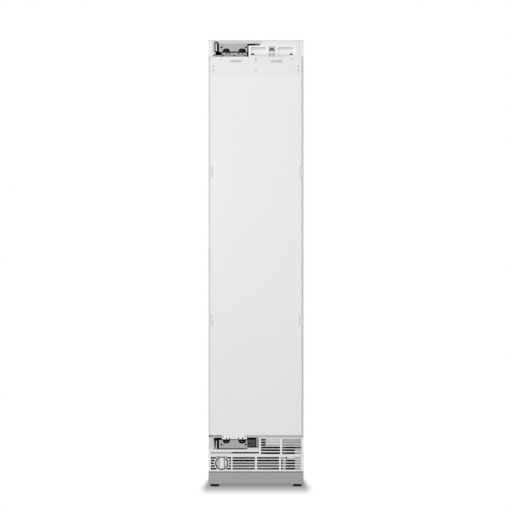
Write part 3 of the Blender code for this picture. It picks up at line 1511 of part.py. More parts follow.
def runners():
    """a plate on each side wall with a ledge under every drawer's flange"""
    for label, sign in (("left", -1), ("right", 1)):
        wall = sign * (WIDTH / 2 - SIDE_WALL - FIT)
        inner = wall - sign * RUNNER_PLATE_T
        front = from_face(DRAWER_SET)
        back = drawer_back()
        levels = storage_levels()
        top = levels[-1][1] + levels[-1][2] - DRAWER_FLANGE_DROP + RUNNER_T
        low = (min(wall, inner), front, levels[0][1])
        plate = block("runner_" + label, low, (max(wall, inner), back, top), white_plastic())
        tip = sign * (WIDTH / 2 - DRAWER_SIDE + DRAWER_FLANGE_W - RUNNER_LAP)
        for name, base, height in levels:
            under = base + height - DRAWER_FLANGE_DROP - DRAWER_FLANGE_T - FIT
            low = (min(wall - sign * WELD, tip), front, under - RUNNER_T)
            high = (max(wall - sign * WELD, tip), back - WELD, under)
            weld(plate, block("%s_ledge_%s" % (name, label), low, high))


def glass_shelves():
    for number, rise in enumerate(shelf_rises(), 1):
        left, right = CAVITY_LEFT + SHELF_SIDE, CAVITY_RIGHT - SHELF_SIDE
        low = (left, from_face(SHELF_FRONT), rise)
        shelf = block("glass_shelf_%d" % number, low,
                      (right, duct_front() - SHELF_SIDE, rise + SHELF_T), glass())
        soften(shelf, EDGE_ROUND)


def duct_cover():
    """the panel over the evaporator and its fan, open below, with rows of air slots at the fan"""
    side = PLUG_INSET
    low = (CAVITY_LEFT + side, duct_front(), duct_rise(0))
    high = (CAVITY_RIGHT - side, CAVITY_BACK - FIT, CAVITY_TOP - DUCT_TOP_GAP)
    cover = tray("evaporator_cover", low, high, DUCT_WALL, ["back", "bottom"], white_plastic())
    centre = duct_rise(EVAPORATOR_FAN_SHARE)
    boxes = []
    for i in range(DUCT_SLOTS):
        z = centre + DUCT_SLOT_PITCH * (i - (DUCT_SLOTS - 1) / 2)
        boxes.append(((-EVAPORATOR_FAN_R, duct_front() - OVERRUN, z - DUCT_SLOT_H / 2),
                      (EVAPORATOR_FAN_R, duct_front() + DUCT_WALL + OVERRUN, z + DUCT_SLOT_H / 2)))
    cut(cover, many_blocks("duct_slots", boxes))


def evaporator():
    width = CAVITY_RIGHT - CAVITY_LEFT - 2 * EVAPORATOR_SIDE
    y = CAVITY_BACK - FIT - EVAPORATOR_DEPTH / 2
    low_z = duct_rise(EVAPORATOR_RISE_SHARE)
    high_z = duct_rise(EVAPORATOR_RISE_SHARE + EVAPORATOR_H_SHARE)
    points = [(x, -y_out) for x, y_out in
              fin_outline(width, EVAPORATOR_DEPTH, EVAPORATOR_FINS, EVAPORATOR_DEPTH / 4)]
    outline_plate("evaporator", points, (0, y, (low_z + high_z) / 2), "z", high_z - low_z, aluminium())


def ice_maker_base():
    base, height = storage_levels()[-1][1:]
    return base + height + ICE_MAKER_RISE


def ice_maker_front():
    return CAVITY_BACK - ICE_MAKER_REAR - ICE_MOULD_L - ICE_GEAR_L


def ice_maker():
    """a gear box and a mould with open cups, fixed to the left wall above the ice bin"""
    base = ice_maker_base()
    left = CAVITY_LEFT + FIT
    right = left + ICE_MAKER_W
    front = ice_maker_front()
    back = front + ICE_GEAR_L
    gear = block("ice_maker", (left, front, base), (right, back, base + ICE_MAKER_H), white_plastic())
    mould_low = (left, back - OVERRUN, base)
    mould_high = (right - ICE_MOULD_SIDE, back + ICE_MOULD_L, base + ICE_MOULD_H)
    weld(gear, block("ice_mould", mould_low, mould_high))
    pitch = ICE_MOULD_L / ICE_CUPS
    cup_low, cup_high = left + ICE_CUP_WALL + ICE_MOULD_SIDE, right - ICE_MOULD_SIDE - ICE_CUP_WALL
    boxes = [((cup_low, back + pitch * i + ICE_CUP_WALL / 2, base + ICE_CUP_WALL * 2),
              (cup_high, back + pitch * (i + 1) - ICE_CUP_WALL / 2, base + ICE_MOULD_H + OVERRUN))
             for i in range(ICE_CUPS)]
    cups = many_blocks("ice_cups", boxes)
    cut(gear, cups)


def bail_axis():
    x = CAVITY_LEFT + FIT + ICE_MAKER_W + BAIL_HUB_L / 2 + FIT
    return Vector((x, ice_maker_front() + ICE_GEAR_L / 2, ice_maker_base() + BAIL_RISE))


def ice_bail():
    """the wire arm that feels how full the ice bin is"""
    axis = bail_axis()
    hub = rod("ice_maker_arm", axis - Vector((BAIL_HUB_L / 2, 0, 0)), axis + Vector((BAIL_HUB_L / 2, 0, 0)),
              BAIL_HUB_R, white_plastic(), SMALL_SIDES)
    route = [(0, 0, 0), (BAIL_OUT, 0, 0), (BAIL_OUT, BAIL_SPAN / 8, -BAIL_DROP), (BAIL_OUT, BAIL_SPAN, -BAIL_DROP),
             (BAIL_OUT, BAIL_SPAN, -BAIL_DROP / 2)]
    weld(hub, wire("bail_wire", route, axis, BAIL_R))
    carry(axis_empty("ice_maker_arm_axis", axis), hub)


def wire(name, route, at, radius):
    curve = bpy.data.curves.new(name, "CURVE")
    curve.dimensions = "3D"
    curve.bevel_depth = radius
    curve.bevel_resolution = 2
    curve.use_fill_caps = True
    line = curve.splines.new("POLY")
    line.points.add(len(route) - 1)
    for point, place in zip(line.points, route):
        point.co = (*place, 1.0)
    sketch = bpy.data.objects.new(name + "_route", curve)
    bpy.context.scene.collection.objects.link(sketch)
    bpy.context.view_layer.update()
    tube = bpy.data.meshes.new_from_object(sketch.evaluated_get(bpy.context.evaluated_depsgraph_get()))
    bpy.data.objects.remove(sketch, do_unlink=True)
    form = bmesh.new()
    form.from_mesh(tube)
    bpy.data.meshes.remove(tube)
    bmesh.ops.remove_doubles(form, verts=form.verts, dist=WELD)
    return register(name, form, at)


def control_panel():
    low = (CAVITY_LEFT + PANEL_SIDE, BODY_FACE + PANEL_SET, CAVITY_TOP - FIT - PANEL_H)
    high = (CAVITY_RIGHT - PANEL_SIDE, BODY_FACE + PANEL_SET + PANEL_DEPTH, CAVITY_TOP - FIT)
    soften(block("control_panel", low, high, black_plastic()), EDGE_ROUND)


def light_strips():
    for label, sign in (("left", -1), ("right", 1)):
        wall = sign * (WIDTH / 2 - SIDE_WALL - FIT)
        inner = wall - sign * LIGHT_T
        front = BODY_FACE + LIGHT_SET
        low = (min(wall, inner), front, CAVITY_BASE + LIGHT_SPARE)
        high = (max(wall, inner), front + LIGHT_W, CAVITY_TOP - LIGHT_SPARE)
        soften(block("light_strip_" + label, low, high, clear_plastic()), LIGHT_LENS_ROUND)


def evaporator_fan():
    rear = evaporator_fan_place(0) - Vector((0, FIT, 0))
    rotor("evaporator_fan", rear, EVAPORATOR_FAN_R, white_plastic())


def build():
    clear_scene()
    door = axis_empty("door_axis", pivot_point((DOOR_BASE + DOOR_TOP) / 2))
    cabinet_body()
    top_frame()
    top_fascia()
    control_cover()
    top_hinge(door)
    bottom_hinge(door)
    door_leaf(door)
    upper_grille()
    lower_grille()
    toe_kick()
    base_frame()
    levelling_feet()
    filter_housing()
    water_filter()
    compressor()
    condenser()
    condenser_fan_group()
    drip_tray()
    electronics_box()
    drawers()
    runners()
    glass_shelves()
    duct_cover()
    evaporator()
    evaporator_fan()
    ice_maker()
    ice_bail()
    control_panel()
    light_strips()


build()
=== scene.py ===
"""Looks of the built-in column freezer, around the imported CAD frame. Metres, +Z up, the front faces -Y."""

import json
import math

import bmesh
import bpy
from mathutils import Matrix, Vector

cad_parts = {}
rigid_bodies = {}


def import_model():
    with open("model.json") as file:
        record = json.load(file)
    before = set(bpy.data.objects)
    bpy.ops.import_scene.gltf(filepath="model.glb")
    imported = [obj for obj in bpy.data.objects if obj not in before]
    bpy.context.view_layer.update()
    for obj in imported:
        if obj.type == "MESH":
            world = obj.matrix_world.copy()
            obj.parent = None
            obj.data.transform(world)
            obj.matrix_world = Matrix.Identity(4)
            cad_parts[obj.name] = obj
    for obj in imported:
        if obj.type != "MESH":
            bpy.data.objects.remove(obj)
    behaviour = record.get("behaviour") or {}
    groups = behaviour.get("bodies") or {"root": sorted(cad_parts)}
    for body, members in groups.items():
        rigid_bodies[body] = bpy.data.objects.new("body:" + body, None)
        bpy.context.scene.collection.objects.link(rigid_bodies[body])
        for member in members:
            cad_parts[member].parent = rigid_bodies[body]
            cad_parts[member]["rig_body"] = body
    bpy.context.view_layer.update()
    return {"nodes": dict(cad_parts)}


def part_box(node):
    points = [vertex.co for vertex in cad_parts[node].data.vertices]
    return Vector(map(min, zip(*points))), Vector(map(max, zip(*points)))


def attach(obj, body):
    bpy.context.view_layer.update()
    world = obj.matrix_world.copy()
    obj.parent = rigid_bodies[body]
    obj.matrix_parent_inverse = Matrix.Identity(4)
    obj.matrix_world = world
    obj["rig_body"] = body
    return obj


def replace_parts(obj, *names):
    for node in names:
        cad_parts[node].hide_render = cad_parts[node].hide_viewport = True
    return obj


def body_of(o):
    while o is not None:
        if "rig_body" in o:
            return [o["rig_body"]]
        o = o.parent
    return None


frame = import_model()
NODES = frame["nodes"]

FACE = -0.3015                  # the door's outer face
LEFT = -0.2255                  # the part's left side
EDGE = 0.0005                   # the rounding of sheet and moulded edges
THIN = 0.0001                   # the rounding of thin strips
FLAT_ANGLE = 0.008              # faces that turn less than this are one face
SHARP_ANGLE = math.radians(32)
PIXEL_WIDE, PIXEL_TALL = 0.004735, 0.00475      # metres that one pixel of the photograph spans
MIDDLE_COLUMN, FLOOR_ROW = 256.05, 486.5        # the photograph's column at x = 0 and its row at z = 0
TOP_LEVEL, BOTTOM_LEVEL = 2.0415, 0.2434        # the door's upper and lower edge, where the hinges start
FILTER_X, FILTER_Z = LEFT + 0.0624, 0.1107      # the middle of the water filter's cap


# material tools

def add_node(tree, kind, inputs=None, **settings):
    """a node with its settings, and its inputs linked or set"""
    made = tree.nodes.new(kind)
    for key, value in settings.items():
        setattr(made, key, value)
    for key, value in (inputs or {}).items():
        if isinstance(value, bpy.types.NodeSocket):
            tree.links.new(value, made.inputs[key])
        else:
            made.inputs[key].default_value = value
    return made


def math_node(tree, operation, one, two=None):
    inputs = {0: one} if two is None else {0: one, 1: two}
    return add_node(tree, "ShaderNodeMath", inputs, operation=operation).outputs[0]


class Look:
    """a material whose colour, roughness and height vary over the surface"""

    def __init__(self, name, **sockets):
        self.material = bpy.data.materials.new(name)
        self.material.use_nodes = True
        self.tree = self.material.node_tree
        self.tree.nodes.clear()
        self.shader = self.node("ShaderNodeBsdfPrincipled")
        self.node("ShaderNodeOutputMaterial", {"Surface": self.shader.outputs["BSDF"]})
        self.place = self.node("ShaderNodeTexCoord").outputs["Object"]
        for socket, value in sockets.items():
            self.shader.inputs[socket.replace("_", " ")].default_value = value
        self.height = None

    def node(self, kind, inputs=None, **settings):
        return add_node(self.tree, kind, inputs, **settings)

    def stretched(self, stretch):
        return self.node("ShaderNodeMapping", {"Scale": stretch, "Vector": self.place}).outputs["Vector"]

    def noise(self, scale, stretch=(1, 1, 1), detail=3.0, rough=0.55):
        inputs = {"Scale": scale, "Detail": detail, "Roughness": rough, "Vector": self.stretched(stretch)}
        return self.node("ShaderNodeTexNoise", inputs).outputs["Fac"]

    def cells(self, scale):
        return self.node("ShaderNodeTexVoronoi", {"Scale": scale, "Vector": self.stretched((1, 1, 1))})

    def ramp(self, value, stops):
        made = self.node("ShaderNodeValToRGB", {"Fac": value})
        bar = made.color_ramp
        while len(bar.elements) < len(stops):
            bar.elements.new(0.5)
        for element, (at, colour) in zip(bar.elements, stops):
            element.position = at
            element.color = (*colour, 1)
        return made.outputs["Color"]

    def tones(self, value, tone, low, high):
        """two shades of a tone, each given as (place on the ramp, share of the tone)"""
        return self.ramp(value, [(at, shade(tone, share)) for at, share in (low, high)])

    def span(self, value, low, high, start=0.3, end=0.7):
        inputs = {"Value": value, "From Min": start, "From Max": end, "To Min": low, "To Max": high}
        return self.node("ShaderNodeMapRange", inputs).outputs["Result"]

    def mix(self, share, one, two, way="MIX"):
        made = self.node("ShaderNodeMix", data_type="RGBA", blend_type=way)
        for key, value in (("Factor", share), ("A", one), ("B", two)):
            socket = [s for s in made.inputs if s.name == key and s.enabled][0]
            if isinstance(value, bpy.types.NodeSocket):
                self.tree.links.new(value, socket)
            elif key == "Factor":
                socket.default_value = value
            else:
                socket.default_value = (*value, 1)
        return [s for s in made.outputs if s.enabled][0]

    def edges(self, reach):
        """1 along a sharp edge, 0 on a flat face"""
        rounded = self.node("ShaderNodeBevel", {"Radius": reach}, samples=3).outputs["Normal"]
        true = self.node("ShaderNodeNewGeometry").outputs["Normal"]
        dot = self.node("ShaderNodeVectorMath", {0: rounded, 1: true}, operation="DOT_PRODUCT")
        return self.span(dot.outputs["Value"], 1.0, 0.0, 0.82, 0.995)

    def bump(self, value, depth, strength=1.0):
        inputs = {"Distance": depth, "Strength": strength, "Height": value}
        if self.height is not None:
            inputs["Normal"] = self.height
        self.height = self.node("ShaderNodeBump", inputs).outputs["Normal"]

    def done(self, colour, rough):
        for socket, value in (("Base Color", colour), ("Roughness", rough), ("Normal", self.height)):
            self.tree.links.new(value, self.shader.inputs[socket])
        return self.material


def shade(tone, factor):
    return tuple(min(1.0, channel * factor) for channel in tone)


def grey(tone):
    return (tone, tone, tone)


def painted(name, tone, rough=0.42, grain=0.012, worn=1.05):
    """sheet with a sprayed coat: slow drift of tone, fine orange peel, thinner coat along its edges"""
    look = Look(name, Specular_IOR_Level=0.42)
    base = look.tones(look.noise(1.6, (1, 1, 0.5)), tone, (0.3, 1 - grain), (0.7, 1 + grain))
    specks = look.noise(420.0, detail=2.0)
    base = look.mix(look.span(specks, 0.0, 0.5, 0.45, 0.8), base, shade(tone, 0.965))
    colour = look.mix(look.edges(0.0012), base, shade(tone, worn))
    look.bump(look.noise(1500.0, detail=1.0), 0.00006, 0.5)
    look.bump(look.noise(9.0, (1, 1, 0.35), detail=1.0), 0.0007, 0.12)
    return look.done(colour, look.span(look.noise(26.0), rough - 0.04, rough + 0.05))


def coarse_paint(name, tone):
    """a mat textured coat with a visible grain"""
    look = Look(name, Specular_IOR_Level=0.35)
    grain = look.noise(900.0, rough=0.7)
    base = look.tones(grain, tone, (0.35, 0.9), (0.65, 1.08))
    base = look.mix(look.span(look.noise(14.0, (1, 1, 1.6)), 0.0, 0.35), base, shade(tone, 0.95))
    colour = look.mix(look.edges(0.0015), base, shade(tone, 1.16))
    look.bump(grain, 0.00025, 0.55)
    return look.done(colour, look.span(grain, 0.52, 0.66))


def galvanised(name, tone, metal=0.75):
    """zinc-coated sheet with its crystal pattern"""
    look = Look(name, Metallic=metal)
    flakes = look.mix(0.35, look.tones(look.noise(60.0), tone, (0.3, 0.9), (0.7, 1.1)),
                      look.cells(95.0).outputs["Color"], "SOFT_LIGHT")
    pale = look.node("ShaderNodeRGBToBW", {"Color": flakes}).outputs["Val"]
    base = look.tones(pale, tone, (0.25, 0.86), (0.75, 1.14))
    colour = look.mix(look.edges(0.0010), base, shade(tone, 1.25))
    look.bump(pale, 0.00008, 0.4)
    look.bump(look.noise(5.0, detail=1.0), 0.0010, 0.1)
    return look.done(colour, look.span(pale, 0.33, 0.5))


def brushed(name, tone, along=(1, 1, 14), rough=0.34, metal=0.9):
    """drawn or rolled steel: fine lines along one way, darker smudges"""
    look = Look(name, Metallic=metal)
    lines = look.noise(520.0, tuple(1 / s for s in along), detail=4.0, rough=0.65)
    base = look.tones(lines, tone, (0.32, 0.88), (0.68, 1.12))
    smudge = look.noise(22.0, detail=2.0)
    base = look.mix(look.span(smudge, 0.0, 0.4, 0.5, 0.8), base, shade(tone, 0.85))
    colour = look.mix(look.edges(0.0009), base, shade(tone, 1.45))
    look.bump(lines, 0.00004, 0.45)
    return look.done(colour, look.span(lines, rough - 0.06, rough + 0.1))


def moulded(name, tone, rough=0.36, texture=1.0, glow=0.0):
    """moulded plastic: fine spark texture, slow sink marks, paler edges"""
    look = Look(name, Specular_IOR_Level=0.5)
    if glow:
        look.shader.inputs["Emission Strength"].default_value = glow
        look.shader.inputs["Emission Color"].default_value = (1, 1, 1, 1)
    grain = look.noise(1300.0, detail=2.0)
    base = look.tones(look.noise(4.0), tone, (0.3, 0.985), (0.7, 1.012))
    base = look.mix(look.span(grain, 0.0, 0.3), base, shade(tone, 0.96))
    colour = look.mix(look.edges(0.0012), base, shade(tone, 1.05))
    look.bump(grain, 0.00005, 0.5 * texture)
    look.bump(look.noise(12.0, detail=1.0), 0.0006, 0.1)
    return look.done(colour, look.span(look.noise(34.0), rough - 0.05, rough + 0.06))


def black_plastic(name, tone=(0.02, 0.02, 0.022), rough=0.5):
    look = Look(name, Specular_IOR_Level=0.45)
    grain = look.noise(800.0)
    dust = look.noise(40.0, detail=4.0)
    base = look.tones(grain, tone, (0.3, 0.7), (0.7, 1.4))
    base = look.mix(look.span(dust, 0.0, 0.25, 0.55, 0.8), base, (0.07, 0.07, 0.068))
    colour = look.mix(look.edges(0.0012), base, (0.055, 0.055, 0.058))
    look.bump(grain, 0.0001, 0.5)
    return look.done(colour, look.span(grain, rough - 0.1, rough + 0.12))


def rubber(name, tone):
    look = Look(name, Specular_IOR_Level=0.3)
    grain = look.noise(700.0, rough=0.7)
    base = look.tones(grain, tone, (0.3, 0.88), (0.7, 1.08))
    colour = look.mix(look.span(look.noise(18.0), 0.0, 0.5), base, shade(tone, 0.93))
    look.bump(grain, 0.00012, 0.4)
    return look.done(colour, look.span(grain, 0.55, 0.75))


def deep_black(name, tone):
    """near-black that gives back hardly any light: painted shade on hidden insides, in holes, gaps and slots,
    and the own black of the feet, the rear felt filter and a printed arrow
    """
    look = Look(name, Specular_IOR_Level=0.06)
    grain = look.noise(600.0, rough=0.7)
    base = look.tones(grain, tone, (0.3, 0.7), (0.7, 1.3))
    colour = look.mix(look.span(look.noise(25.0), 0.0, 0.4), base, shade(tone, 1.6))
    look.bump(grain, 0.00015, 0.4)
    return look.done(colour, look.span(grain, 0.75, 0.95))


def graded(name, stops, rough=0.4, axis=2, middle=0.0):
    """a tone that changes along an axis, used to paint shade and light: stops of (distance from a middle,
    tone), low to high
    """
    look = Look(name, Specular_IOR_Level=0.4)
    along = look.node("ShaderNodeSeparateXYZ", {0: look.place}).outputs[axis]
    low, high = stops[0][0], stops[-1][0]
    distance = math_node(look.tree, "ABSOLUTE", math_node(look.tree, "SUBTRACT", along, middle))
    share = look.span(distance, 0.0, 1.0, low, high)
    base = look.ramp(share, [((place - low) / (high - low), grey(tone)) for place, tone in stops])
    base = look.mix(look.span(look.noise(500.0), 0.0, 0.4), base, grey(0.94), "MULTIPLY")
    colour = look.mix(look.edges(0.0009), base, grey(1.08), "MULTIPLY")
    look.bump(look.noise(1200.0, detail=1.0), 0.00005, 0.5)
    return look.done(colour, look.span(look.noise(40.0), rough - 0.05, rough + 0.08))


def clear(name, tone, weight, rough=0.06):
    """clear moulded plastic or float glass, a little tinted and with faint flow lines"""
    look = Look(name, Transmission_Weight=weight, IOR=1.46)
    colour = look.tones(look.noise(9.0, (1, 1, 3), detail=2.0), tone, (0.3, 0.97), (0.7, 1.02))
    colour = look.mix(look.edges(0.0015), colour, shade(tone, 0.86))
    look.bump(look.noise(160.0, detail=1.0), 0.00004, 0.3)
    return look.done(colour, look.span(look.noise(50.0), rough * 0.6, rough * 1.5))


def foam(name, tone):
    look = Look(name, Specular_IOR_Level=0.15)
    cells = look.cells(700.0).outputs["Distance"]
    base = look.tones(cells, tone, (0.1, 0.72), (0.6, 1.05))
    colour = look.mix(look.span(look.noise(11.0, detail=4.0), 0.0, 0.6), base, shade(tone, 0.85))
    look.bump(cells, 0.0004, 0.6)
    return look.done(colour, look.span(cells, 0.8, 0.95, 0.0, 0.8))


def fins(name, tone, axis, pitch):
    """thin metal fins, drawn as ridges across one axis"""
    look = Look(name, Metallic=0.8)
    inputs = {"Scale": 0.314159 / pitch, "Distortion": 0.25, "Detail Scale": 3.0, "Vector": look.place}
    wave = look.node("ShaderNodeTexWave", inputs, wave_type="BANDS", bands_direction=axis, wave_profile="SIN")
    base = look.tones(wave.outputs["Fac"], tone, (0.25, 0.12), (0.7, 1.0))
    bent = look.noise(45.0)
    colour = look.mix(look.span(bent, 0.0, 0.35, 0.5, 0.75), base, shade(tone, 0.55))
    look.bump(wave.outputs["Fac"], 0.0006, 0.8)
    return look.done(colour, look.span(bent, 0.3, 0.5))


# each look's tone and what else its maker takes
RECIPES = {
    painted: {
        "door_paint": (grey(0.775), 0.43), "body_paint": (grey(0.785), 0.40),
        "head_paint": (grey(0.745), 0.40), "grille_paint": (grey(0.77), 0.38),
        "ledge_paint": (grey(0.46), 0.5), "slot_paint": (grey(0.53), 0.5), "lip_paint": (grey(0.84), 0.36),
        "arm_paint": (grey(0.82), 0.5), "seam_paint": (grey(0.60), 0.5),
        "compressor_paint": ((0.018, 0.018, 0.02), 0.3, 0.08, 2.2)},
    coarse_paint: {
        "kick_paint": ((0.375, 0.375, 0.378),), "rail_dark": ((0.095, 0.095, 0.096),),
        "rail_black": ((0.035, 0.035, 0.036),)},
    deep_black: {
        "felt_black": ((0.004, 0.004, 0.0042),), "foot_black": ((0.004, 0.004, 0.0042),),
        "oxide_steel": ((0.006, 0.006, 0.0062),), "hole_black": (grey(0.002),)},
    rubber: {"bead_black": ((0.05, 0.05, 0.052),), "seal": ((0.62, 0.62, 0.61),)},
    galvanised: {
        "shell_zinc": ((0.60, 0.61, 0.62),), "rib_zinc": ((0.47, 0.478, 0.486),),
        "frame_zinc": ((0.46, 0.463, 0.466), 0.12), "sill_zinc": (grey(0.66), 0.05),
        "web_zinc": ((0.53, 0.532, 0.535), 0.05), "web_dim": ((0.30, 0.302, 0.305), 0.05),
        "post_zinc": ((0.40, 0.402, 0.405), 0.1)},
    brushed: {
        "hinge_steel": ((0.56, 0.56, 0.57),), "plate_steel": ((0.355, 0.355, 0.358), (10, 1, 1), 0.5, 0.10),
        "low_plate_steel": ((0.35, 0.35, 0.353), (10, 1, 1), 0.5, 0.12),
        "tower_steel": ((0.21, 0.21, 0.213), (1, 1, 8), 0.5, 0.05),
        # the darkest brushed steel draws seam lines, and painted shade in the slot above the cover
        "hem_steel": (grey(0.13), (8, 1, 1), 0.5, 0.0), "clip_steel": (grey(0.63), (1, 1, 8), 0.5, 0.05),
        "screw_steel": ((0.26, 0.26, 0.265), (1, 1, 1), 0.4, 0.3),
        "trim_steel": ((0.62, 0.62, 0.63), (14, 1, 1), 0.36, 0.5),
        "brass": ((0.60, 0.44, 0.20), (1, 1, 1), 0.3, 0.85)},
    moulded: {
        "white_moulding": (grey(0.80), 0.32), "cover_moulding": (grey(0.93), 0.34),
        "liner_moulding": ((0.88, 0.885, 0.89), 0.42, 0.3), "cap_moulding": (grey(0.78), 0.34),
        "rim_moulding": (grey(0.64), 0.4), "grey_moulding": ((0.475, 0.478, 0.48), 0.42),
        "gap_moulding": (grey(0.28), 0.5), "bar_moulding": (grey(0.74), 0.34),
        "light_moulding": ((0.92, 0.93, 0.95), 0.3, 0.3, 0.25)},
    black_plastic: {"black_moulding": (), "dark_box": ((0.03, 0.03, 0.031), 0.5)},
    clear: {"bin_clear": ((0.94, 0.97, 0.98), 0.60), "glass": ((0.86, 0.95, 0.92), 0.95, 0.02)},
    foam: {"foam": ((0.83, 0.74, 0.48),)},
    fins: {"fins_x": ((0.62, 0.63, 0.64), "X", 0.0022), "fins_dark": ((0.025, 0.025, 0.026), "X", 0.0026)},
    # the graded looks paint shade and light along an axis
    graded: {
        "edge_paint": ([(0.2120, 0.84), (0.2172, 0.86), (0.2182, 0.66), (0.2255, 0.65)], 0.46, 0),
        # painted shade: the top bracket's lip is darker towards its lower, sloped part
        "bracket_steel": ([(2.0475, 0.27), (2.0492, 0.24), (2.0506, 0.36), (2.0600, 0.39)], 0.48),
        "scoop_moulding": ([(2.0425, 0.60), (2.0485, 0.60), (2.0530, 0.73), (2.0600, 0.80), (2.0665, 0.84),
                            (2.0730, 0.79), (2.0790, 0.68), (2.0840, 0.60), (2.0895, 0.58)], 0.42),
        "fillet_moulding": ([(0.0043, 0.27), (0.0075, 0.31), (0.0120, 0.50), (0.0200, 0.69), (0.0245, 0.80)],
                            0.42, 0, 0.07505)},
}
LOOKS = {name: make(name, *values) for make, rows in RECIPES.items() for name, values in rows.items()}


# the CAD nodes: edges softened, better materials

NODE_LOOKS = {
    "door_paint": "door_panel",
    "body_paint": "face_frame",
    "head_paint": "fixing_plate top_fascia top_frame",
    "grille_paint": "upper_grille lower_grille",
    "shell_zinc": "cabinet_shell",
    "frame_zinc": "base_frame",
    "foot_black": "foot_front_left foot_front_right foot_rear_left foot_rear_right",
    "hinge_steel": "top_hinge_block bottom_hinge_block closer_crank closer_link",
    "plate_steel": "top_hinge_cover",
    "low_plate_steel": "bottom_hinge_cover",
    "bracket_steel": "top_hinge_bracket",
    "lip_paint": "bottom_hinge_bracket",
    "clip_steel": "side_clip_lower_left side_clip_lower_right side_clip_upper_left side_clip_upper_right",
    "cover_moulding": "control_cover",
    "white_moulding": "ice_maker ice_maker_arm electronics_box evaporator_cover runner_left runner_right",
    "liner_moulding": "cabinet_liner door_liner",
    "cap_moulding": "filter_cap filter_housing filter_cartridge",
    "grey_moulding": "evaporator_fan",
    "light_moulding": "light_strip_left light_strip_right",
    "black_moulding": "condenser_fan condenser_fan_frame control_panel drip_tray",
    "compressor_paint": "compressor",
    "seal": "door_gasket",
    "bin_clear": "door_rack_1 door_rack_2 drawer_lower drawer_middle drawer_upper ice_bin",
    "glass": "glass_shelf_1 glass_shelf_2 glass_shelf_3",
    "foam": "cabinet_insulation door_insulation",
    "fins_x": "evaporator",
    "fins_dark": "condenser",
}
KEPT_PLAIN = {"cabinet_insulation", "door_insulation", "evaporator", "condenser"}
WIDTHS = {"upper_grille": 0.0002, "lower_grille": 0.0002, "fixing_plate": 0.0003, "top_hinge_cover": 0.0002,
          "bottom_hinge_cover": 0.0002, "base_frame": 0.0003}

SLOT_GROWTH = 0.0009            # how far a grille slot's rims move apart
SLOT_FACE = 0.00045             # the largest face that is a slot's rim
COLLAR_REACH = 0.0335           # rims this near the filter stay
SIXTH_ROW = (0.150, 0.168)      # the height of the upper grille's last row
SIXTH_ROW_DROP = 0.0018


def body_of_node(name):
    return body_of(NODES[name])[0]


def link_object(name, data):
    made = bpy.data.objects.new(name, data)
    bpy.context.collection.objects.link(made)
    return made


def evaluated_mesh(made):
    """the object's mesh with its modifiers applied, in place of its own"""
    graph = bpy.context.evaluated_depsgraph_get()
    mesh = bpy.data.meshes.new_from_object(made.evaluated_get(graph))
    made.modifiers.clear()
    made.data = mesh
    return made


def mark_convex(form):
    weights = form.edges.layers.float.new("bevel_weight_edge")
    for edge in form.edges:
        if len(edge.link_faces) == 2 and edge.is_convex and edge.calc_face_angle(0) > SHARP_ANGLE:
            edge[weights] = 1.0


def taller_slots(form):
    """moves the upper and lower rims of a grille's slots apart, away from the filter's collar"""
    heights = [corner.co.z for corner in form.verts]
    low, high = min(heights) + 0.002, max(heights) - 0.002
    rims = {}
    for face in form.faces:
        face.normal_update()
        inside = low < face.calc_center_median().z < high
        if inside and abs(face.normal.z) > 0.9 and face.calc_area() < SLOT_FACE:
            for corner in face.verts:
                step = -SLOT_GROWTH if face.normal.z > 0 else SLOT_GROWTH
                if math.hypot(corner.co.x - FILTER_X, corner.co.z - FILTER_Z) > COLLAR_REACH:
                    rims[corner] = step - SIXTH_ROW_DROP * (SIXTH_ROW[0] < corner.co.z < SIXTH_ROW[1])
    for corner, step in rims.items():
        corner.co.z += step


def softened(name, width=EDGE):
    """a copy of a CAD node with its outer edges rounded, which stands for it"""
    form = bmesh.new()
    form.from_mesh(NODES[name].data)
    bmesh.ops.remove_doubles(form, verts=form.verts, dist=1e-6)
    bmesh.ops.dissolve_limit(form, angle_limit=FLAT_ANGLE, verts=form.verts, edges=form.edges)
    if name.endswith("_grille"):
        taller_slots(form)
    mark_convex(form)
    mesh = bpy.data.meshes.new(name + "_form")
    form.to_mesh(mesh)
    form.free()
    if "custom_normal" in mesh.attributes:
        mesh.attributes.remove(mesh.attributes["custom_normal"])
    for polygon in mesh.polygons:
        polygon.use_smooth = True
    mesh.set_sharp_from_angle(angle=SHARP_ANGLE)
    made = link_object(name + "_form", mesh)
    rounding = made.modifiers.new("rounding", "BEVEL")
    rounding.limit_method = "WEIGHT"
    rounding.width = width
    rounding.segments = 2
    rounding.use_clamp_overlap = True
    made.modifiers.new("normals", "WEIGHTED_NORMAL").keep_sharp = True
    evaluated_mesh(made)
    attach(made, body_of_node(name))
    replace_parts(made, name)
    return made


def wear(made, look):
    made.data.materials.clear()
    made.data.materials.append(LOOKS[look])
    return made


FORMS = {}
for look_name, node_names in NODE_LOOKS.items():
    for node_name in node_names.split():
        if node_name in KEPT_PLAIN:
            NODES[node_name].material_slots[0].material = LOOKS[look_name]
        else:
            FORMS[node_name] = wear(softened(node_name, WIDTHS.get(node_name, EDGE)), look_name)


# small pieces


def piece(name, form, look, body="cabinet", slot=None, smooth=True):
    """a finished mesh from bmesh data, on its body; the slot argument is not used"""
    mesh = bpy.data.meshes.new(name)
    form.to_mesh(mesh)
    form.free()
    for polygon in mesh.polygons:
        polygon.use_smooth = smooth
    if smooth:
        mesh.set_sharp_from_angle(angle=SHARP_ANGLE)
    made = wear(link_object(name, mesh), look)
    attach(made, body)
    return made


def tidy_normals(form):
    bmesh.ops.recalc_face_normals(form, faces=form.faces)
    return form


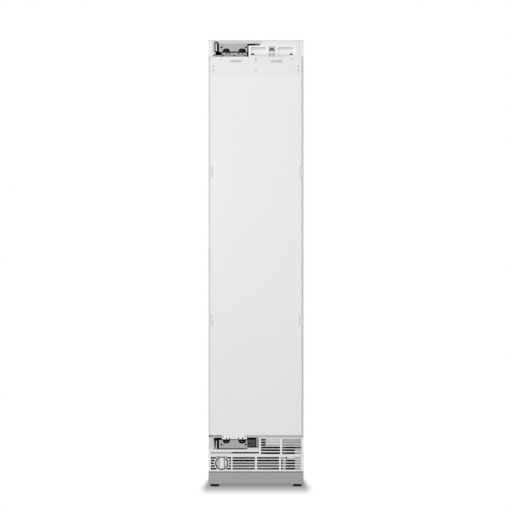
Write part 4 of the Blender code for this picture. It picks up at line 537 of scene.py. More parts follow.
def lathe(form, profile, centre, axis=(0, -1, 0), steps=24):
    """turns (radius, height) points about an axis through the centre, the height along the axis"""
    turn = Vector((0, 0, 1)).rotation_difference(Vector(axis)).to_matrix()
    rings = []
    for radius, height in profile:
        ring = []
        for i in range(steps if radius else 1):
            angle = 2 * math.pi * i / steps
            point = Vector((radius * math.cos(angle), radius * math.sin(angle), height))
            ring.append(form.verts.new(Vector(centre) + turn @ point))
        rings.append(ring)
    for low, high in zip(rings, rings[1:]):
        for i in range(steps):
            j = (i + 1) % steps
            corners = [low[i % len(low)], low[j % len(low)], high[j % len(high)], high[i % len(high)]]
            distinct = list(dict.fromkeys(corners))
            if len(distinct) > 2:
                form.faces.new(distinct)
    return form


def slab(form, outline, place, low, high):
    """a plate from an outline of (u, v) points, set down by place(u, v, height)"""
    near = [form.verts.new(place(u, v, high)) for u, v in outline]
    far = [form.verts.new(place(u, v, low)) for u, v in outline]
    form.faces.new(near)
    form.faces.new(far[::-1])
    for i in range(len(outline)):
        j = (i + 1) % len(outline)
        form.faces.new((near[j], near[i], far[i], far[j]))


def on_front(u, v, height):
    return Vector((u, -height, v))


def on_back(u, v, height):
    return Vector((u, height, v))


def on_top(u, v, height):
    return Vector((u, v, height))


def prism(form, outline, front, back):
    """a plate from an outline of (x, z) points between two depths, y = front and y = back"""
    slab(form, outline, on_back, back, front)


def rounded_edges(made, width, segments=2):
    rounding = made.modifiers.new("rounding", "BEVEL")
    rounding.width = width
    rounding.segments = segments
    rounding.limit_method = "ANGLE"
    rounding.angle_limit = math.radians(50)
    return evaluated_mesh(made)


def photo_x(column):
    return (column - MIDDLE_COLUMN) * PIXEL_WIDE


def photo_z(row):
    return (FLOOR_ROW - row) * PIXEL_TALL


def side(inward):
    """a place in metres from the part's left side, given in millimetres"""
    return LEFT + inward / 1000


def faces_look(node, look, test):
    """gives the faces of a softened node that pass a test of their middle another material"""
    mesh = FORMS[node].data
    mesh.materials.append(LOOKS[look])
    for polygon in mesh.polygons:
        if test(polygon.center, polygon.normal):
            polygon.material_index = len(mesh.materials) - 1


def box_form(low, high, form):
    middle = [(a + b) / 2 for a, b in zip(low, high)]
    sizes = [b - a for a, b in zip(low, high)]
    matrix = Matrix.Translation(middle) @ Matrix.Diagonal((*sizes, 1))
    bmesh.ops.create_cube(form, size=1.0, matrix=matrix)


def plates(name, look, width, boxes, **finish):
    """thin folded or cut plates with rounded edges, as one piece"""
    form = bmesh.new()
    for low, high in boxes:
        box_form(low, high, form)
    return rounded_edges(piece(name, form, look, **finish), width)


def strips(name, look, width, *places, **finish):
    """plates at (left, right, front, back, low, high), left and right in millimetres from the part's left"""
    boxes = []
    for left, right, front, back, low, high in places:
        boxes.append(((side(left), front, low), (side(right), back, high)))
    return plates(name, look, width, boxes, **finish)


def arc_points(u, v, radius, start, end, steps=6):
    turns = [math.radians(start + (end - start) * i / steps) for i in range(steps + 1)]
    return [(u + radius * math.cos(turn), v + radius * math.sin(turn)) for turn in turns]


def rounded_rect(low_u, high_u, low_v, high_v, radius, steps=6):
    points = []
    for u, v, start in ((high_u - radius, high_v - radius, 0), (low_u + radius, high_v - radius, 90),
                        (low_u + radius, low_v + radius, 180), (high_u - radius, low_v + radius, 270)):
        points += arc_points(u, v, radius, start, start + 90, steps)
    return points


def around(u, v, half_u, half_v, radius, steps=6):
    """a rounded rectangle about its middle"""
    return rounded_rect(u - half_u, u + half_u, v - half_v, v + half_v, radius, steps)


def ellipse(x, z, wide, tall, start=0.0, end=2 * math.pi, steps=28):
    turns = [start + (end - start) * i / steps for i in range(steps if end - start > 6 else steps + 1)]
    return [(x + wide * math.cos(turn), z + tall * math.sin(turn)) for turn in turns]


def slabs(name, look, width, place, low, high, outlines, **finish):
    """plates with the given outlines on one face, as one piece"""
    form = bmesh.new()
    for outline in outlines:
        slab(form, outline, place, low, high)
    return rounded_edges(piece(name, tidy_normals(form), look, **finish), width)


def studs(name, places, place, radius, base, height, look="screw_steel"):
    """domed rivet heads at (u, v) places of a face"""
    form = bmesh.new()
    profile = [(1.0, -0.3), (1.0, 0.15), (0.86, 0.62), (0.5, 0.93), (0.0, 1.0)]
    profile = [(radius * share, base + height * rise) for share, rise in profile]
    for u, v in places:
        lathe(form, profile, place(u, v, 0.0), place(0.0, 0.0, 1.0), 12)
    return piece(name, tidy_normals(form), look)


def spaced(low, high, count):
    return [low + (high - low) * i / (count - 1) for i in range(count)]


# the door: sloped strips with painted light and shade, screws, slot backs with painted shadow

# painted light and shade on the door's sloped edge strips: paler than the face on their inner part to cancel
# the slope's shade, darker on their outer part
faces_look("door_panel", "edge_paint", lambda c, n: c.y < -0.291 and 0.35 < abs(n.x) < 0.95)
SET_BACK = 0.0003               # how far the fixing plate's front makes room for its screws
plate_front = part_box("fixing_plate")[0][1] + SET_BACK
for corner in FORMS["fixing_plate"].data.vertices:
    if corner.co.y < plate_front - 0.0001:
        corner.co.y += SET_BACK
PLATE_SCREWS = [(220.0, 59.4), (292.0, 59.4), (256.0, 58.5), (256.0, 60.5), (256.0, 70.5),
                (213.4, 66.4), (213.4, 70.5), (298.6, 66.4), (298.6, 70.5)]
HEAD_RADIUS, HEAD_RISE = 0.0036, 0.0003
HEAD_SHARES = [(1.0, 0.35), (0.82, 0.78), (0.45, 1.0), (0.36, 0.96), (0.26, 0.2), (0.0, 0.1)]
form = bmesh.new()
for column, row in PLATE_SCREWS:
    profile = [(HEAD_RADIUS * 1.02, -0.0004)]
    profile += [(HEAD_RADIUS * wide, HEAD_RISE * rise) for wide, rise in HEAD_SHARES]
    lathe(form, profile, (photo_x(column), plate_front, photo_z(row)), steps=16)
piece("plate_screws", tidy_normals(form), "screw_steel", "door")
SLOT_X, SLOT_Z = 0.0971, 2.0195     # a slot's middle
SLOT_RADIUS, SLOT_REACH = 0.0074, 0.0236
# painted shadow: grey plates behind the fixing plate's slots darken the slots
form = bmesh.new()
for sign in (-1, 1):
    outline = []
    for way, start in ((1, -math.pi / 2), (-1, math.pi / 2)):
        end_x = sign * SLOT_X + way * SLOT_REACH
        outline += ellipse(end_x, SLOT_Z, SLOT_RADIUS, SLOT_RADIUS, start, start + math.pi, 10)
    prism(form, outline, FACE - 0.00024, FACE - 0.00006)
piece("slot_backs", tidy_normals(form), "slot_paint", "door")


# the hinges: housings painted black for shade, grey towers with a white slider and a painted shadow slot
# beside it, link heads behind the domes, painted shade in the domes and plate holes

def arch(x, z, half, tall, steps=16):
    """points of a flattened arch that stands, or hangs, on a level line"""
    points = []
    for i in range(steps + 1):
        turn = math.pi * i / steps
        wide = math.copysign(abs(math.cos(turn)) ** 0.75, math.cos(turn))
        points.append((x + half * wide, z + tall * math.sin(turn) ** 0.85))
    return points


def band(form, outer, inner, front, back):
    """a thin band between two open outlines of (x, z) points"""
    for i in range(len(outer) - 1):
        prism(form, [outer[i], outer[i + 1], inner[i + 1], inner[i]], front, back)


TOWER_FRONT = -0.2979
BAR_RIGHT = side(40.8)
BAR_FRONT = TOWER_FRONT - 0.0016
DOMES = (84.3, 159.2)           # the middles of the hinge plate's domes, in mm from the left
HEAD_PROFILE = [(0, 0), (0.0022, 0.0004), (0.0031, 0.0018), (0.0031, 0.0122), (0.0022, 0.0136), (0, 0.014)]
HOLE_SHADE_PROFILE = [(0.0046, -0.0004), (0.0046, 0.0001), (0.0040, 0.0004), (0, 0.0005)]


def in_tower(c):
    return side(24) < c.x < side(49.2) and c.y < -0.2925


def on_bar(c, n):
    return in_tower(c) and c.y < TOWER_FRONT - 0.0001 and side(33) < c.x < side(41.4)


for hinge, way, level in (("top", 1, TOP_LEVEL), ("bottom", -1, BOTTOM_LEVEL)):
    upper = way > 0
    block = hinge + "_hinge_block"
    # painted shade: the housing's faces outside the tower are black
    faces_look(block, "oxide_steel", lambda c, n: not in_tower(c) or c.x > BAR_RIGHT)
    faces_look(block, "tower_steel", lambda c, n: in_tower(c) and c.x < BAR_RIGHT)
    faces_look(block, "bar_moulding" if upper else "rim_moulding", on_bar)
    foot_z, round_z = level + way * 0.0268, level + way * 0.0603
    strips(hinge + "_slide_edge", "tower_steel" if upper else "dark_box", THIN,
           (32.9, 35.9 if upper else 36.2, TOWER_FRONT - 0.0019, TOWER_FRONT - 0.0001,
            min(foot_z, round_z) + 0.001, max(foot_z, round_z) - 0.001), slot="zinc_steel")
    slot_shadow_form, heads, rims, plugs = (bmesh.new() for _ in range(4))
    # painted shadow: a black track stands for the deep slot beside the tower's slider
    outline = [(side(38.7), foot_z), (side(49.2), foot_z)]
    outline += [(side(37) + 0.0121 * math.cos(turn), round_z + way * 0.0118 * math.sin(turn))
                for turn in (0.0, 0.25, 0.5, 0.75, 1.0, 1.2)]
    prism(slot_shadow_form, outline, TOWER_FRONT - 0.0004, TOWER_FRONT - 0.0001)
    low_z, high_z = foot_z + way * 0.0012, round_z + way * 0.003
    outline = [(side(39.3), low_z), (side(42.0), low_z), (side(42.0), high_z), (side(39.3), high_z)]
    prism(slot_shadow_form, outline, BAR_FRONT - 0.0004, BAR_FRONT)
    foot, peak = level + way * 0.0222, way * 0.0165
    # painted shade: black arches in front of the domes stand for their shaded insides
    for dome in DOMES:
        lathe(heads, HEAD_PROFILE, (side(dome - 7), -0.2964, level + way * 0.0305), (1, 0, 0), 14)
        band(rims, arch(side(dome), foot, 0.0172, peak + way * 0.0008),
             arch(side(dome), foot, 0.0143, peak - way * 0.0016), -0.3005, -0.2996)
    # painted shade: black discs for the two holes in the hinge plate
    for column in (221.5, 245.8):
        lathe(plugs, HOLE_SHADE_PROFILE, (photo_x(column), -0.3002, level + way * 0.0443), steps=16)
    piece(hinge + "_slot_shadow", tidy_normals(slot_shadow_form), "hole_black")
    piece(hinge + "_link_heads", tidy_normals(heads), "dark_box")
    piece(hinge + "_dome_shades", tidy_normals(rims), "hole_black")
    piece(hinge + "_plate_hole_shades", tidy_normals(plugs), "hole_black")
faces_look("bottom_hinge_block", "dark_box", lambda c, n: c.x > side(183.5))
# painted shade: black plates behind the hinge links
strips("link_recess_back", "felt_black", 0.0003, (51, 183, -0.2921, -0.2914, 2.0685, 2.1036))
strips("top_link_back", "hole_black", THIN, (52, 182, -0.29785, -0.29755, 2.0642, 2.0897))
strips("bottom_link_back", "hole_black", THIN, (52, 182, -0.29785, -0.29755, 0.1942, 0.2207))
strips("lower_ledges", "slot_paint", THIN, (184.2, 232, -0.2958, -0.2954, 0.2322, 0.2428),
       (4.5, 63, -0.2966, -0.2962, 0.2314, 0.2381))
strips("box_shelf", "head_paint", THIN, (184.2, 238.6, -0.2968, -0.2964, 0.1762, 0.1840))
strips("box_base", "hole_black", 0.0002, (184.4, 222.6, -0.2971, -0.2965, 0.1838, 0.1886),
       (222.4, 226.2, -0.2971, -0.2965, 0.1862, 0.2316))
# painted shade: a grey plate darkens the grille's left corner below the door
strips("grille_corner_shade", "seam_paint", 0.0002, (1.2, 21.6, -0.3013, -0.3009, 0.1790, 0.2306))
strips("tower_foot", "seam_paint", THIN, (24, 32.5, -0.2986, -0.2981, 2.0530, 2.0640))
# painted light: a pale plate under the top tower, where the bracket's arm lies in shade
strips("tower_sill", "arm_paint", THIN, (24, 63, -0.2988, -0.2981, 2.0468, 2.0483))
strips("plate_hem", "rail_dark", THIN, (101, 142.5, -0.3004, -0.30018, 2.0640, 2.0676))
# painted shade: a black plate behind the top lip's holes
strips("lip_hole_back", "hole_black", THIN, (65, 181, -0.2984, -0.2981, 2.0475, 2.0592), body="door")
faces_look("bottom_hinge_bracket", "head_paint", lambda c, n: c.x < side(63))
# painted light: the top bracket's arm gets a pale tone to cancel its shade
faces_look("top_hinge_bracket", "arm_paint", lambda c, n: c.x < side(63))
lip_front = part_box("top_hinge_bracket")[0][1]
LIP_HOLES = [(226.5, 53.9), (229.6, 53.9), (238.6, 53.9), (242.5, 53.9)]
HEM_HOLES = [(223.1, 55.6), (234.1, 55.6), (245.1, 55.6)]
# painted shade: black discs stand for the brackets' lip holes
for name, way, holes in (("top_lip_screws", 1, LIP_HOLES + HEM_HOLES), ("bottom_lip_screws", -1, LIP_HOLES)):
    heads = bmesh.new()
    for column, row in holes:
        z = photo_z(row) if way > 0 else BOTTOM_LEVEL - (photo_z(row) - TOP_LEVEL)
        profile = [(0.0033, -0.0004), (0.0033, 0.0001), (0.0026, 0.0003), (0, 0.0003)]
        lathe(heads, profile, (photo_x(column), lip_front, z), steps=14)
    piece(name, tidy_normals(heads), "hole_black", "door")
strips("box_lid", "hole_black", THIN, (184.2, 223.8, -0.2962, -0.2960, 0.2215, 0.2318))
box_ribs = [(190, 221, -0.2963, -0.2960, z, z + 0.0012) for z in (0.1905, 0.1985, 0.2080)]
strips("box_ribs", "hole_black", THIN, *box_ribs, (184.5, 200, -0.2964, -0.2960, 0.2020, 0.2062))
# painted shade: a dimmer zinc on the box's side
strips("box_side", "web_dim", THIN, (224.6, 238.6, -0.2950, -0.2944, 0.1872, 0.2306))


# the white cover: arrow, post, capped screws, scooped recesses, with painted shade in the recesses, gaps,
# slot and screw wells

marker_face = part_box("control_cover")[0][1]
COVER_LEFT, COVER_WIDE = side(190.2), 0.2211
COVER_RIGHT, COVER_MIDDLE = COVER_LEFT + COVER_WIDE, COVER_LEFT + COVER_WIDE / 2
POST_TOP = 2.0602
# painted shade: the cover's top lip, in the slot above it, is black
faces_look("control_cover", "hole_black", lambda c, n: c.z > 2.0941 and c.y > -0.2990)
# painted shade in the gaps beside the cover's post
faces_look("control_cover", "gap_moulding", lambda c, n: c.z < 2.0600 and c.y > -0.3002
           and 0.0043 < abs(c.x - COVER_MIDDLE) < 0.0150)
# painted shade: a grey line along the cover's right side
faces_look("control_cover", "slot_paint", lambda c, n: c.x > COVER_RIGHT + 0.0002)


def marker_plate(name, look, half, back, low, high):
    """a plate on the cover's marker face, about the cover's middle"""
    plates(name, look, 0.0002, [((COVER_MIDDLE - half, marker_face - 0.0003, low),
                                 (COVER_MIDDLE + half, marker_face + back, high))])


ARROW = [(0.0, 2.0846), (0.0120, 2.0744), (0.0120, 2.0703), (0.0066, 2.0703), (0.0, 2.0757),
         (-0.0066, 2.0703), (-0.0120, 2.0703), (-0.0120, 2.0744)]
marker_plate("marker_plate", "grey_moulding", 0.0186, 0.0002, 2.0636, 2.0920)
form = bmesh.new()
prism(form, [(COVER_MIDDLE + x, z) for x, z in ARROW], marker_face - 0.0006, marker_face - 0.0002)
piece("marker_arrow", tidy_normals(form), "hole_black")
# painted shade beside the cover's post: the fillets darken towards the post
for name, left, right in (("post_fillet_left", -0.0245, -0.0044), ("post_fillet_right", 0.0044, 0.0245)):
    plates(name, "fillet_moulding", THIN, [((COVER_MIDDLE + left, -0.3010, 2.0418),
                                            (COVER_MIDDLE + right, -0.3006, POST_TOP))])
# painted shade: the screw wells above the tabs are drawn black
tabs, wells = bmesh.new(), bmesh.new()
for column in (252.5, 291.5):
    prism(tabs, ellipse(photo_x(column), 2.0417, 0.0135, 0.0085, 0.0, math.pi, 20), -0.3010, -0.2925)
    prism(wells, ellipse(photo_x(column), 2.0517, 0.0088, 0.0054), -0.2997, -0.2925)
rounded_edges(piece("cover_tabs", tidy_normals(tabs), "white_moulding"), 0.0012, 3)
piece("cover_screw_wells", tidy_normals(wells), "hole_black")


def thickened(made, thickness, offset=-1.0):
    shell = made.modifiers.new("thickness", "SOLIDIFY")
    shell.thickness = thickness
    shell.offset = offset
    evaluated_mesh(made)


def scoop(form, x, z, wide, tall, shallow, deep, rows=14, columns=26):
    """a dished panel: a rounded rectangle that curves back toward its middle"""
    grid = []
    for j in range(rows + 1):
        v = 2 * j / rows - 1
        line = []
        for i in range(columns + 1):
            u = 2 * i / columns - 1
            hollow = (1 - abs(u) ** 5) * (1 - abs(v) ** 2.6)
            line.append(form.verts.new((x + wide / 2 * u * math.sqrt(1 - 0.15 * v * v),
                                        shallow + (deep - shallow) * hollow,
                                        z + tall / 2 * v * math.sqrt(1 - 0.15 * u * u))))
        grid.append(line)
    for low, high in zip(grid, grid[1:]):
        for i in range(columns):
            form.faces.new((low[i], low[i + 1], high[i + 1], high[i]))


# painted shade in the cover's scooped recesses: darker towards their top and bottom, paler in the middle,
# over the scoops' own dishing
scoops = bmesh.new()
for x in (COVER_LEFT + 0.0455, COVER_RIGHT - 0.0466):
    scoop(scoops, x, 2.0667, 0.0792, 0.0432, -0.3008, -0.2926)
thickened(piece("cover_scoops", scoops, "scoop_moulding"), 0.0004, 1.0)
# painted shadow in the gap beside the cover and in the slot above it: black at the left, dark grey at the
# right
strips("cover_gap_shadow", "hole_black", THIN, (183.3, 189.7, -0.2993, -0.2990, 2.0500, 2.1010),
       (189.7, 224, -0.3000, -0.2997, 2.0942, 2.1008))
strips("slot_right_shade", "hem_steel", THIN, (224, 243.8, -0.3000, -0.2997, 2.0942, 2.1008))
marker_plate("post_face", "rim_moulding", 0.0046, 0.0003, 2.0418, POST_TOP)
strips("cover_hem", "rim_moulding", THIN, (191, 410.8, -0.3009, -0.3006, 2.0418, 2.0463))
strips("pocket_end", "body_paint", THIN, (244.4, 255.6, -0.2984, -0.2980, 2.0960, 2.1042))
# painted shade: a dark grey plate at the back of the slot
strips("slot_back_shade", "rail_dark", THIN, (222, 244, -0.2982, -0.2979, 2.0980, 2.1020))
strips("corner_seams", "ledge_paint", THIN, (0.2, 19.8, -0.3016, -0.3014, 2.1162, 2.1192),
       (431.2, 450.8, -0.3016, -0.3014, 2.1162, 2.1192), (429.3, 431.1, -0.3016, -0.3014, 2.0440, 2.1192),
       (18.9, 20.3, -0.3016, -0.3014, 2.0440, 2.1192))


# the base: painted shade inside, on the low rail and the posts, seam flange, painted shade around the filter
# cap, toe kick with a rolled edge and a painted shadow line, pleated rear filter

RAIL_FRONT, RAIL_BACK = -0.2957, -0.2938


def on_rail(c, top):
    return RAIL_FRONT < c.y < RAIL_BACK and c.z < top


def off_filter(c):
    return math.hypot(c.x - FILTER_X, c.z - FILTER_Z)


# painted shade: the base's inside faces are black
faces_look("base_frame", "felt_black", lambda c, n: -0.2928 < c.y < 0.2969 and abs(c.x) < 0.2242
           and c.z > 0.0331)
# painted light: the deep sill, shaded under the door, gets a paler zinc than the frame
faces_look("base_frame", "sill_zinc", lambda c, n: -0.2445 < c.y < -0.2385 and c.z > 0.2255)
# painted shade: the low rail behind the lower grille is dark grey
faces_look("base_frame", "rail_dark", lambda c, n: on_rail(c, 0.1132) and side(113) < c.x < side(342))
faces_look("base_frame", "post_zinc", lambda c, n: on_rail(c, 0.2255) and not side(113) <= c.x <= side(350))
faces_look("base_frame", "web_zinc", lambda c, n: RAIL_FRONT < c.y < -0.2945 and 0.1930 < c.z < 0.2255
           and c.x > side(268))
# painted shade: the faces in the gap around the filter cap are black
faces_look("filter_housing", "hole_black", lambda c, n: c.y < -0.2935 and off_filter(c) < 0.0312
           and (abs(n.y) < 0.3 or c.y > -0.3020))
faces_look("filter_cap", "hole_black", lambda c, n: c.y < -0.2935 and off_filter(c) > 0.0255
           and abs(n.y) < 0.3)
# painted shade: a dimmer zinc plate on the web behind the grille
strips("web_plate", "web_dim", THIN, (352, 438.5, -0.2960, -0.2958, 0.1945, 0.2232))
strips("seam_flange", "grille_paint", THIN, (2, 40.4, -0.2987, -0.2981, 0.1392, 0.1462),
       (84.4, 449, -0.2987, -0.2981, 0.1392, 0.1462))
# painted shadow: black plates on the shaded parts of the posts behind the grilles
strips("post_shade_plates", "rail_black", THIN, (351.8, 367.2, -0.2962, -0.2957, 0.1470, 0.1925),
       (410.0, 438.5, -0.2962, -0.2957, 0.1795, 0.1925), (299.8, 342, -0.2962, -0.2957, 0.0745, 0.0885))
strips("wiring_label", "body_paint", THIN, (374.5, 409.5, -0.2965, -0.2960, 0.1325, 0.1388),
       (343, 351, -0.2965, -0.2960, 0.1345, 0.1388))
RING_PROFILE = [(0.0264, -0.0012), (0.0264, 0.0), (0.0268, 0.0004), (0.0298, 0.0004), (0.0302, 0.0),
                (0.0302, -0.0012), (0.0264, -0.0012)]
MOUTH_PROFILE = [(0.0303, -0.0010), (0.0303, 0.0002), (0.0316, 0.0002), (0.0316, -0.0010), (0.0303, -0.0010)]
# painted shade: a black ring and two bars in the cap's gap and beside its grip, and a black ring in the
# housing's mouth
ring, mouth = bmesh.new(), bmesh.new()
lathe(ring, RING_PROFILE, (FILTER_X, -0.3009, FILTER_Z), steps=48)
for x in (FILTER_X - 0.0113, FILTER_X + 0.0113):
    box_form((x - 0.0008, -0.3006, FILTER_Z - 0.0200), (x + 0.0008, -0.2960, FILTER_Z + 0.0200), ring)
lathe(mouth, MOUTH_PROFILE, (FILTER_X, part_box("filter_housing")[0][1], FILTER_Z), steps=48)
piece("filter_mouth", tidy_normals(mouth), "hole_black")
piece("filter_gap_shade", tidy_normals(ring), "hole_black", "filter_cap")

for name, low_x in (("left_front_shoe", -0.2164), ("right_front_shoe", 0.1756)):
    shoe = bmesh.new()
    slab(shoe, rounded_rect(low_x, low_x + 0.0408, -0.3006, -0.2881, 0.0040), on_top, 0.0003, 0.0088)
    slab(shoe, rounded_rect(low_x + 0.0084, low_x + 0.0324, -0.2975, -0.2925, 0.0020), on_top, 0.0086, 0.0160)
    rounded_edges(piece(name, tidy_normals(shoe), "foot_black"), 0.0008)


def toe_kick():
    """a folded sheet with a rolled lower edge, drawn along x in slices, and a black strip above it that
    paints the shadow line under the grille
    """
    low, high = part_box("toe_kick")
    front, base, top = low[1], low[2] + 0.0013, high[2] - 0.0066
    outline = [(front + 0.0018, top), (front + 0.0013, top), (front + 0.0013, top - 0.0036),
               (front + 0.0004, top - 0.0036), (front, top - 0.0042)]
    outline += arc_points(front + 0.0045, base + 0.0045, 0.0045, 180, 270)
    outline += arc_points(front + 0.0045, base + 0.0045, 0.0028, 270, 180)
    outline += [(front + 0.0018, top - 0.006)]
    form = bmesh.new()
    rows = [[form.verts.new((x, y, z)) for y, z in outline] for x in spaced(low[0], high[0], 25)]
    for one, two in zip(rows, rows[1:]):
        for i in range(len(outline)):
            j = (i + 1) % len(outline)
            form.faces.new((one[i], one[j], two[j], two[i]))
    form.faces.new(rows[0][::-1])
    form.faces.new(rows[-1])
    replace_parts(piece("toe_kick_form", tidy_normals(form), "kick_paint", slot="grey_paint"), "toe_kick")
    plates("kick_shadow_line", "bead_black", 0.0003, [((low[0] + 0.0005, front + 0.0014, top - 0.0008),
                                                (high[0] - 0.0005, front + 0.0030, high[2] - 0.0004))],
           slot="seal_rubber")


toe_kick()
strips("grille_hem", "grille_paint", 0.0002, (0.1, 450.9, -0.3009, -0.2991, 0.0712, 0.0743))

PLEATS = 113
form = bmesh.new()
folds = []
for i, x in enumerate(spaced(-0.2180, 0.2180, PLEATS)):
    y = 0.2900 if i % 2 else 0.2950
    folds.append([form.verts.new((x, y, z)) for z in (0.0345, 0.09, 0.15, 0.20, 0.2420)])
for one, two in zip(folds, folds[1:]):
    for i in range(len(one) - 1):
        form.faces.new((one[i], one[i + 1], two[i + 1], two[i]))
thickened(piece("rear_filter", form, "felt_black", smooth=False), 0.0008)


# sides, back and top: seams, rivets, ribs with painted shade, plugs, vents and slots painted black for shade

def drawn_in(node, axis, limit, step):
    """moves a form's outermost faces inward, to make room for what stands on them"""
    for corner in FORMS[node].data.vertices:
        if abs(corner.co[axis]) > limit and (axis != 1 or corner.co.y > 0):
            corner.co[axis] -= math.copysign(step, corner.co[axis])


drawn_in("cabinet_shell", 0, 0.2254, 0.0012)
drawn_in("cabinet_shell", 1, 0.3039, 0.0012)
drawn_in("base_frame", 0, 0.2254, 0.0008)
drawn_in("top_frame", 0, 0.2254, 0.0004)
drawn_in("top_frame", 2, 2.1199, 0.0008)

ANCHORS = (0.42, 1.86)          # the height of the niche anchors
for name, sign in (("left", -1), ("right", 1)):
    def on_side(u, v, height, sign=sign):
        return Vector((sign * height, u, v))

    slabs(name + "_side_seams", "hem_steel", THIN, on_side, 0.2240, 0.2245,
          [rounded_rect(y, y + 0.0014, 0.2480, 2.0370, 0.0006, 2) for y in (-0.2190, 0.2880)],
          slot="grey_paint")
    # painted shade: the side swages get a darker zinc in place of the shading of their relief
    slabs(name + "_side_swages", "rib_zinc", 0.0005, on_side, 0.2238, 0.2250,
          [rounded_rect(-0.175, 0.250, z - 0.013, z + 0.013, 0.0129, 8) for z in (0.62, 1.14, 1.66)])
    rivets = [(y, z) for y in (-0.2270, 0.2960) for z in spaced(0.30, 1.99, 9)]
    rivets += [(y, z) for z in (0.2545, 2.0290) for y in spaced(-0.195, 0.265, 6)]
    studs(name + "_side_rivets", rivets, on_side, 0.0034, 0.2243, 0.0009)
    slabs(name + "_side_anchors", "hinge_steel", 0.0003, on_side, 0.2238, 0.2249,
          [around(-0.1960, z, 0.0130, 0.036, 0.004) for z in ANCHORS])
    studs(name + "_anchor_screws", [(-0.1960, z + rise) for z in ANCHORS for rise in (-0.024, 0.024)],
          on_side, 0.0040, 0.2248, 0.0005)
    # painted shade: the anchor slots are drawn as black plates
    slabs(name + "_anchor_slots", "hole_black", THIN, on_side, 0.2246, 0.2251,
          [around(-0.1960, z, 0.0030, 0.010, 0.0029) for z in ANCHORS])
    studs(name + "_foam_plugs", [(0.215, z) for z in ANCHORS], on_side, 0.0150, 0.2243, 0.0010,
          "white_moulding")
    # painted shade: the base vents are drawn as black plates
    slabs(name + "_base_vents", "hole_black", THIN, on_side, 0.2244, 0.2249,
          [rounded_rect(0.050, 0.205, z - 0.0035, z + 0.0035, 0.0034) for z in spaced(0.095, 0.175, 5)])
    studs(name + "_base_screws", [(y, z) for y in (-0.270, -0.020, 0.275) for z in (0.055, 0.222)],
          on_side, 0.0042, 0.2247, 0.0007)
    studs(name + "_box_screws", [(-0.270, 2.080), (-0.035, 2.080)], on_side, 0.0038, 0.2251, 0.0004)

slabs("back_seam", "hem_steel", THIN, on_back, 0.3022, 0.3030,
      [rounded_rect(-0.2132, 0.2132, 0.2608, 2.0232, 0.013)], slot="grey_paint")
slabs("back_sheet", "shell_zinc", 0.0003, on_back, 0.3022, 0.3034,
      [rounded_rect(-0.2120, 0.2120, 0.2620, 2.0220, 0.012)])
# painted shade: the back ribs get a darker zinc in place of the shading of their relief
slabs("back_ribs", "rib_zinc", 0.0004, on_back, 0.3028, 0.3039,
      [rounded_rect(x - 0.012, x + 0.012, low, high, 0.0119, 8) for x in (-0.125, 0.0, 0.125)
       for low, high in ((0.345, 0.885), (0.945, 1.425), (1.485, 1.940))])
rivets = [(x, z) for x in (-0.2045, 0.2045) for z in spaced(0.275, 2.010, 12)]
rivets += [(x, z) for x in spaced(-0.14, 0.14, 4) for z in (0.2700, 2.0140)]
studs("back_rivets", rivets, on_back, 0.0034, 0.3034, 0.0005)
studs("back_plugs", [(-0.0625, 1.455), (0.0625, 0.915)], on_back, 0.0160, 0.3034, 0.0005, "white_moulding")
screws = [(x, z) for x in (-0.212, 0.212) for z in (0.050, 0.128, 0.228)] + [(0.0, 0.228)]
studs("base_rear_screws", screws, on_back, 0.0042, 0.2980, 0.0016)
INLET = [(0.0, 0.0), (0.0140, 0.0), (0.0140, 0.0018), (0.0125, 0.0022), (0.0100, 0.0022),
         (0.0100, 0.0030), (0.0094, 0.0034), (0.0100, 0.0040), (0.0094, 0.0046), (0.0100, 0.0052),
         (0.0090, 0.0056), (0.0066, 0.0056), (0.0066, 0.0030), (0.0, 0.0030)]
GLAND = [(0.0, 0.0), (0.0120, 0.0), (0.0120, 0.0016), (0.0098, 0.0030), (0.0085, 0.0048), (0.0060, 0.0052),
         (0.0055, 0.0030), (0.0, 0.0030)]
inlet = lathe(bmesh.new(), INLET, (0.165, 0.2980, 0.2155), (0, 1, 0), 24)
gland = lathe(bmesh.new(), GLAND, (-0.165, 0.2980, 0.2155), (0, 1, 0), 20)
piece("water_inlet", tidy_normals(inlet), "brass")
piece("cable_entry", tidy_normals(gland), "black_moulding", slot="black_plastic")

slabs("lid_seam", "slot_paint", THIN, on_top, 2.1186, 2.1194,
      [rounded_rect(-0.2112, 0.2112, -0.2872, -0.0150, 0.009)])
slabs("lid_sheet", "head_paint", 0.0002, on_top, 2.1186, 2.1197,
      [rounded_rect(-0.2100, 0.2100, -0.2860, -0.0162, 0.008)])
screws = [(x, y) for x in (-0.200, 0.0, 0.200) for y in (-0.276, -0.026)] + [(-0.2, -0.15), (0.2, -0.15)]
studs("lid_screws", screws, on_top, 0.0038, 2.1196, 0.0004)
# painted shade: the lid vents are drawn as black plates
slabs("lid_vents", "hole_black", THIN, on_top, 2.1190, 2.1199,
      [rounded_rect(x - 0.0022, x + 0.0022, -0.20, -0.10, 0.0021) for x in spaced(0.060, 0.150, 8)])
slabs("roof_seams", "hem_steel", THIN, on_top, 2.0405, 2.0416,
      [rounded_rect(x, x + 0.0014, 0.004, 0.300, 0.0006, 2) for x in (-0.2190, 0.2176)], slot="grey_paint")
# painted shade: the roof swages get a darker zinc in place of the shading of their relief
slabs("roof_swages", "rib_zinc", 0.0006, on_top, 2.0405, 2.0424,
      [around(0.0, y, 0.165, 0.011, 0.0109, 8) for y in (0.060, 0.125)])
rivets = [(x, y) for x in (-0.2220, 0.2220) for y in spaced(0.02, 0.285, 5)]
studs("roof_rivets", rivets, on_top, 0.0024, 2.0412, 0.0012)
studs("roof_plugs", [(-0.10, 0.20), (0.03, 0.20)], on_top, 0.0170, 2.0412, 0.0022, "white_moulding")
slabs("tip_strap", "hinge_steel", 0.0005, on_top, 2.0408, 2.0436,
      [rounded_rect(-0.115, 0.115, 0.256, 0.292, 0.005)])
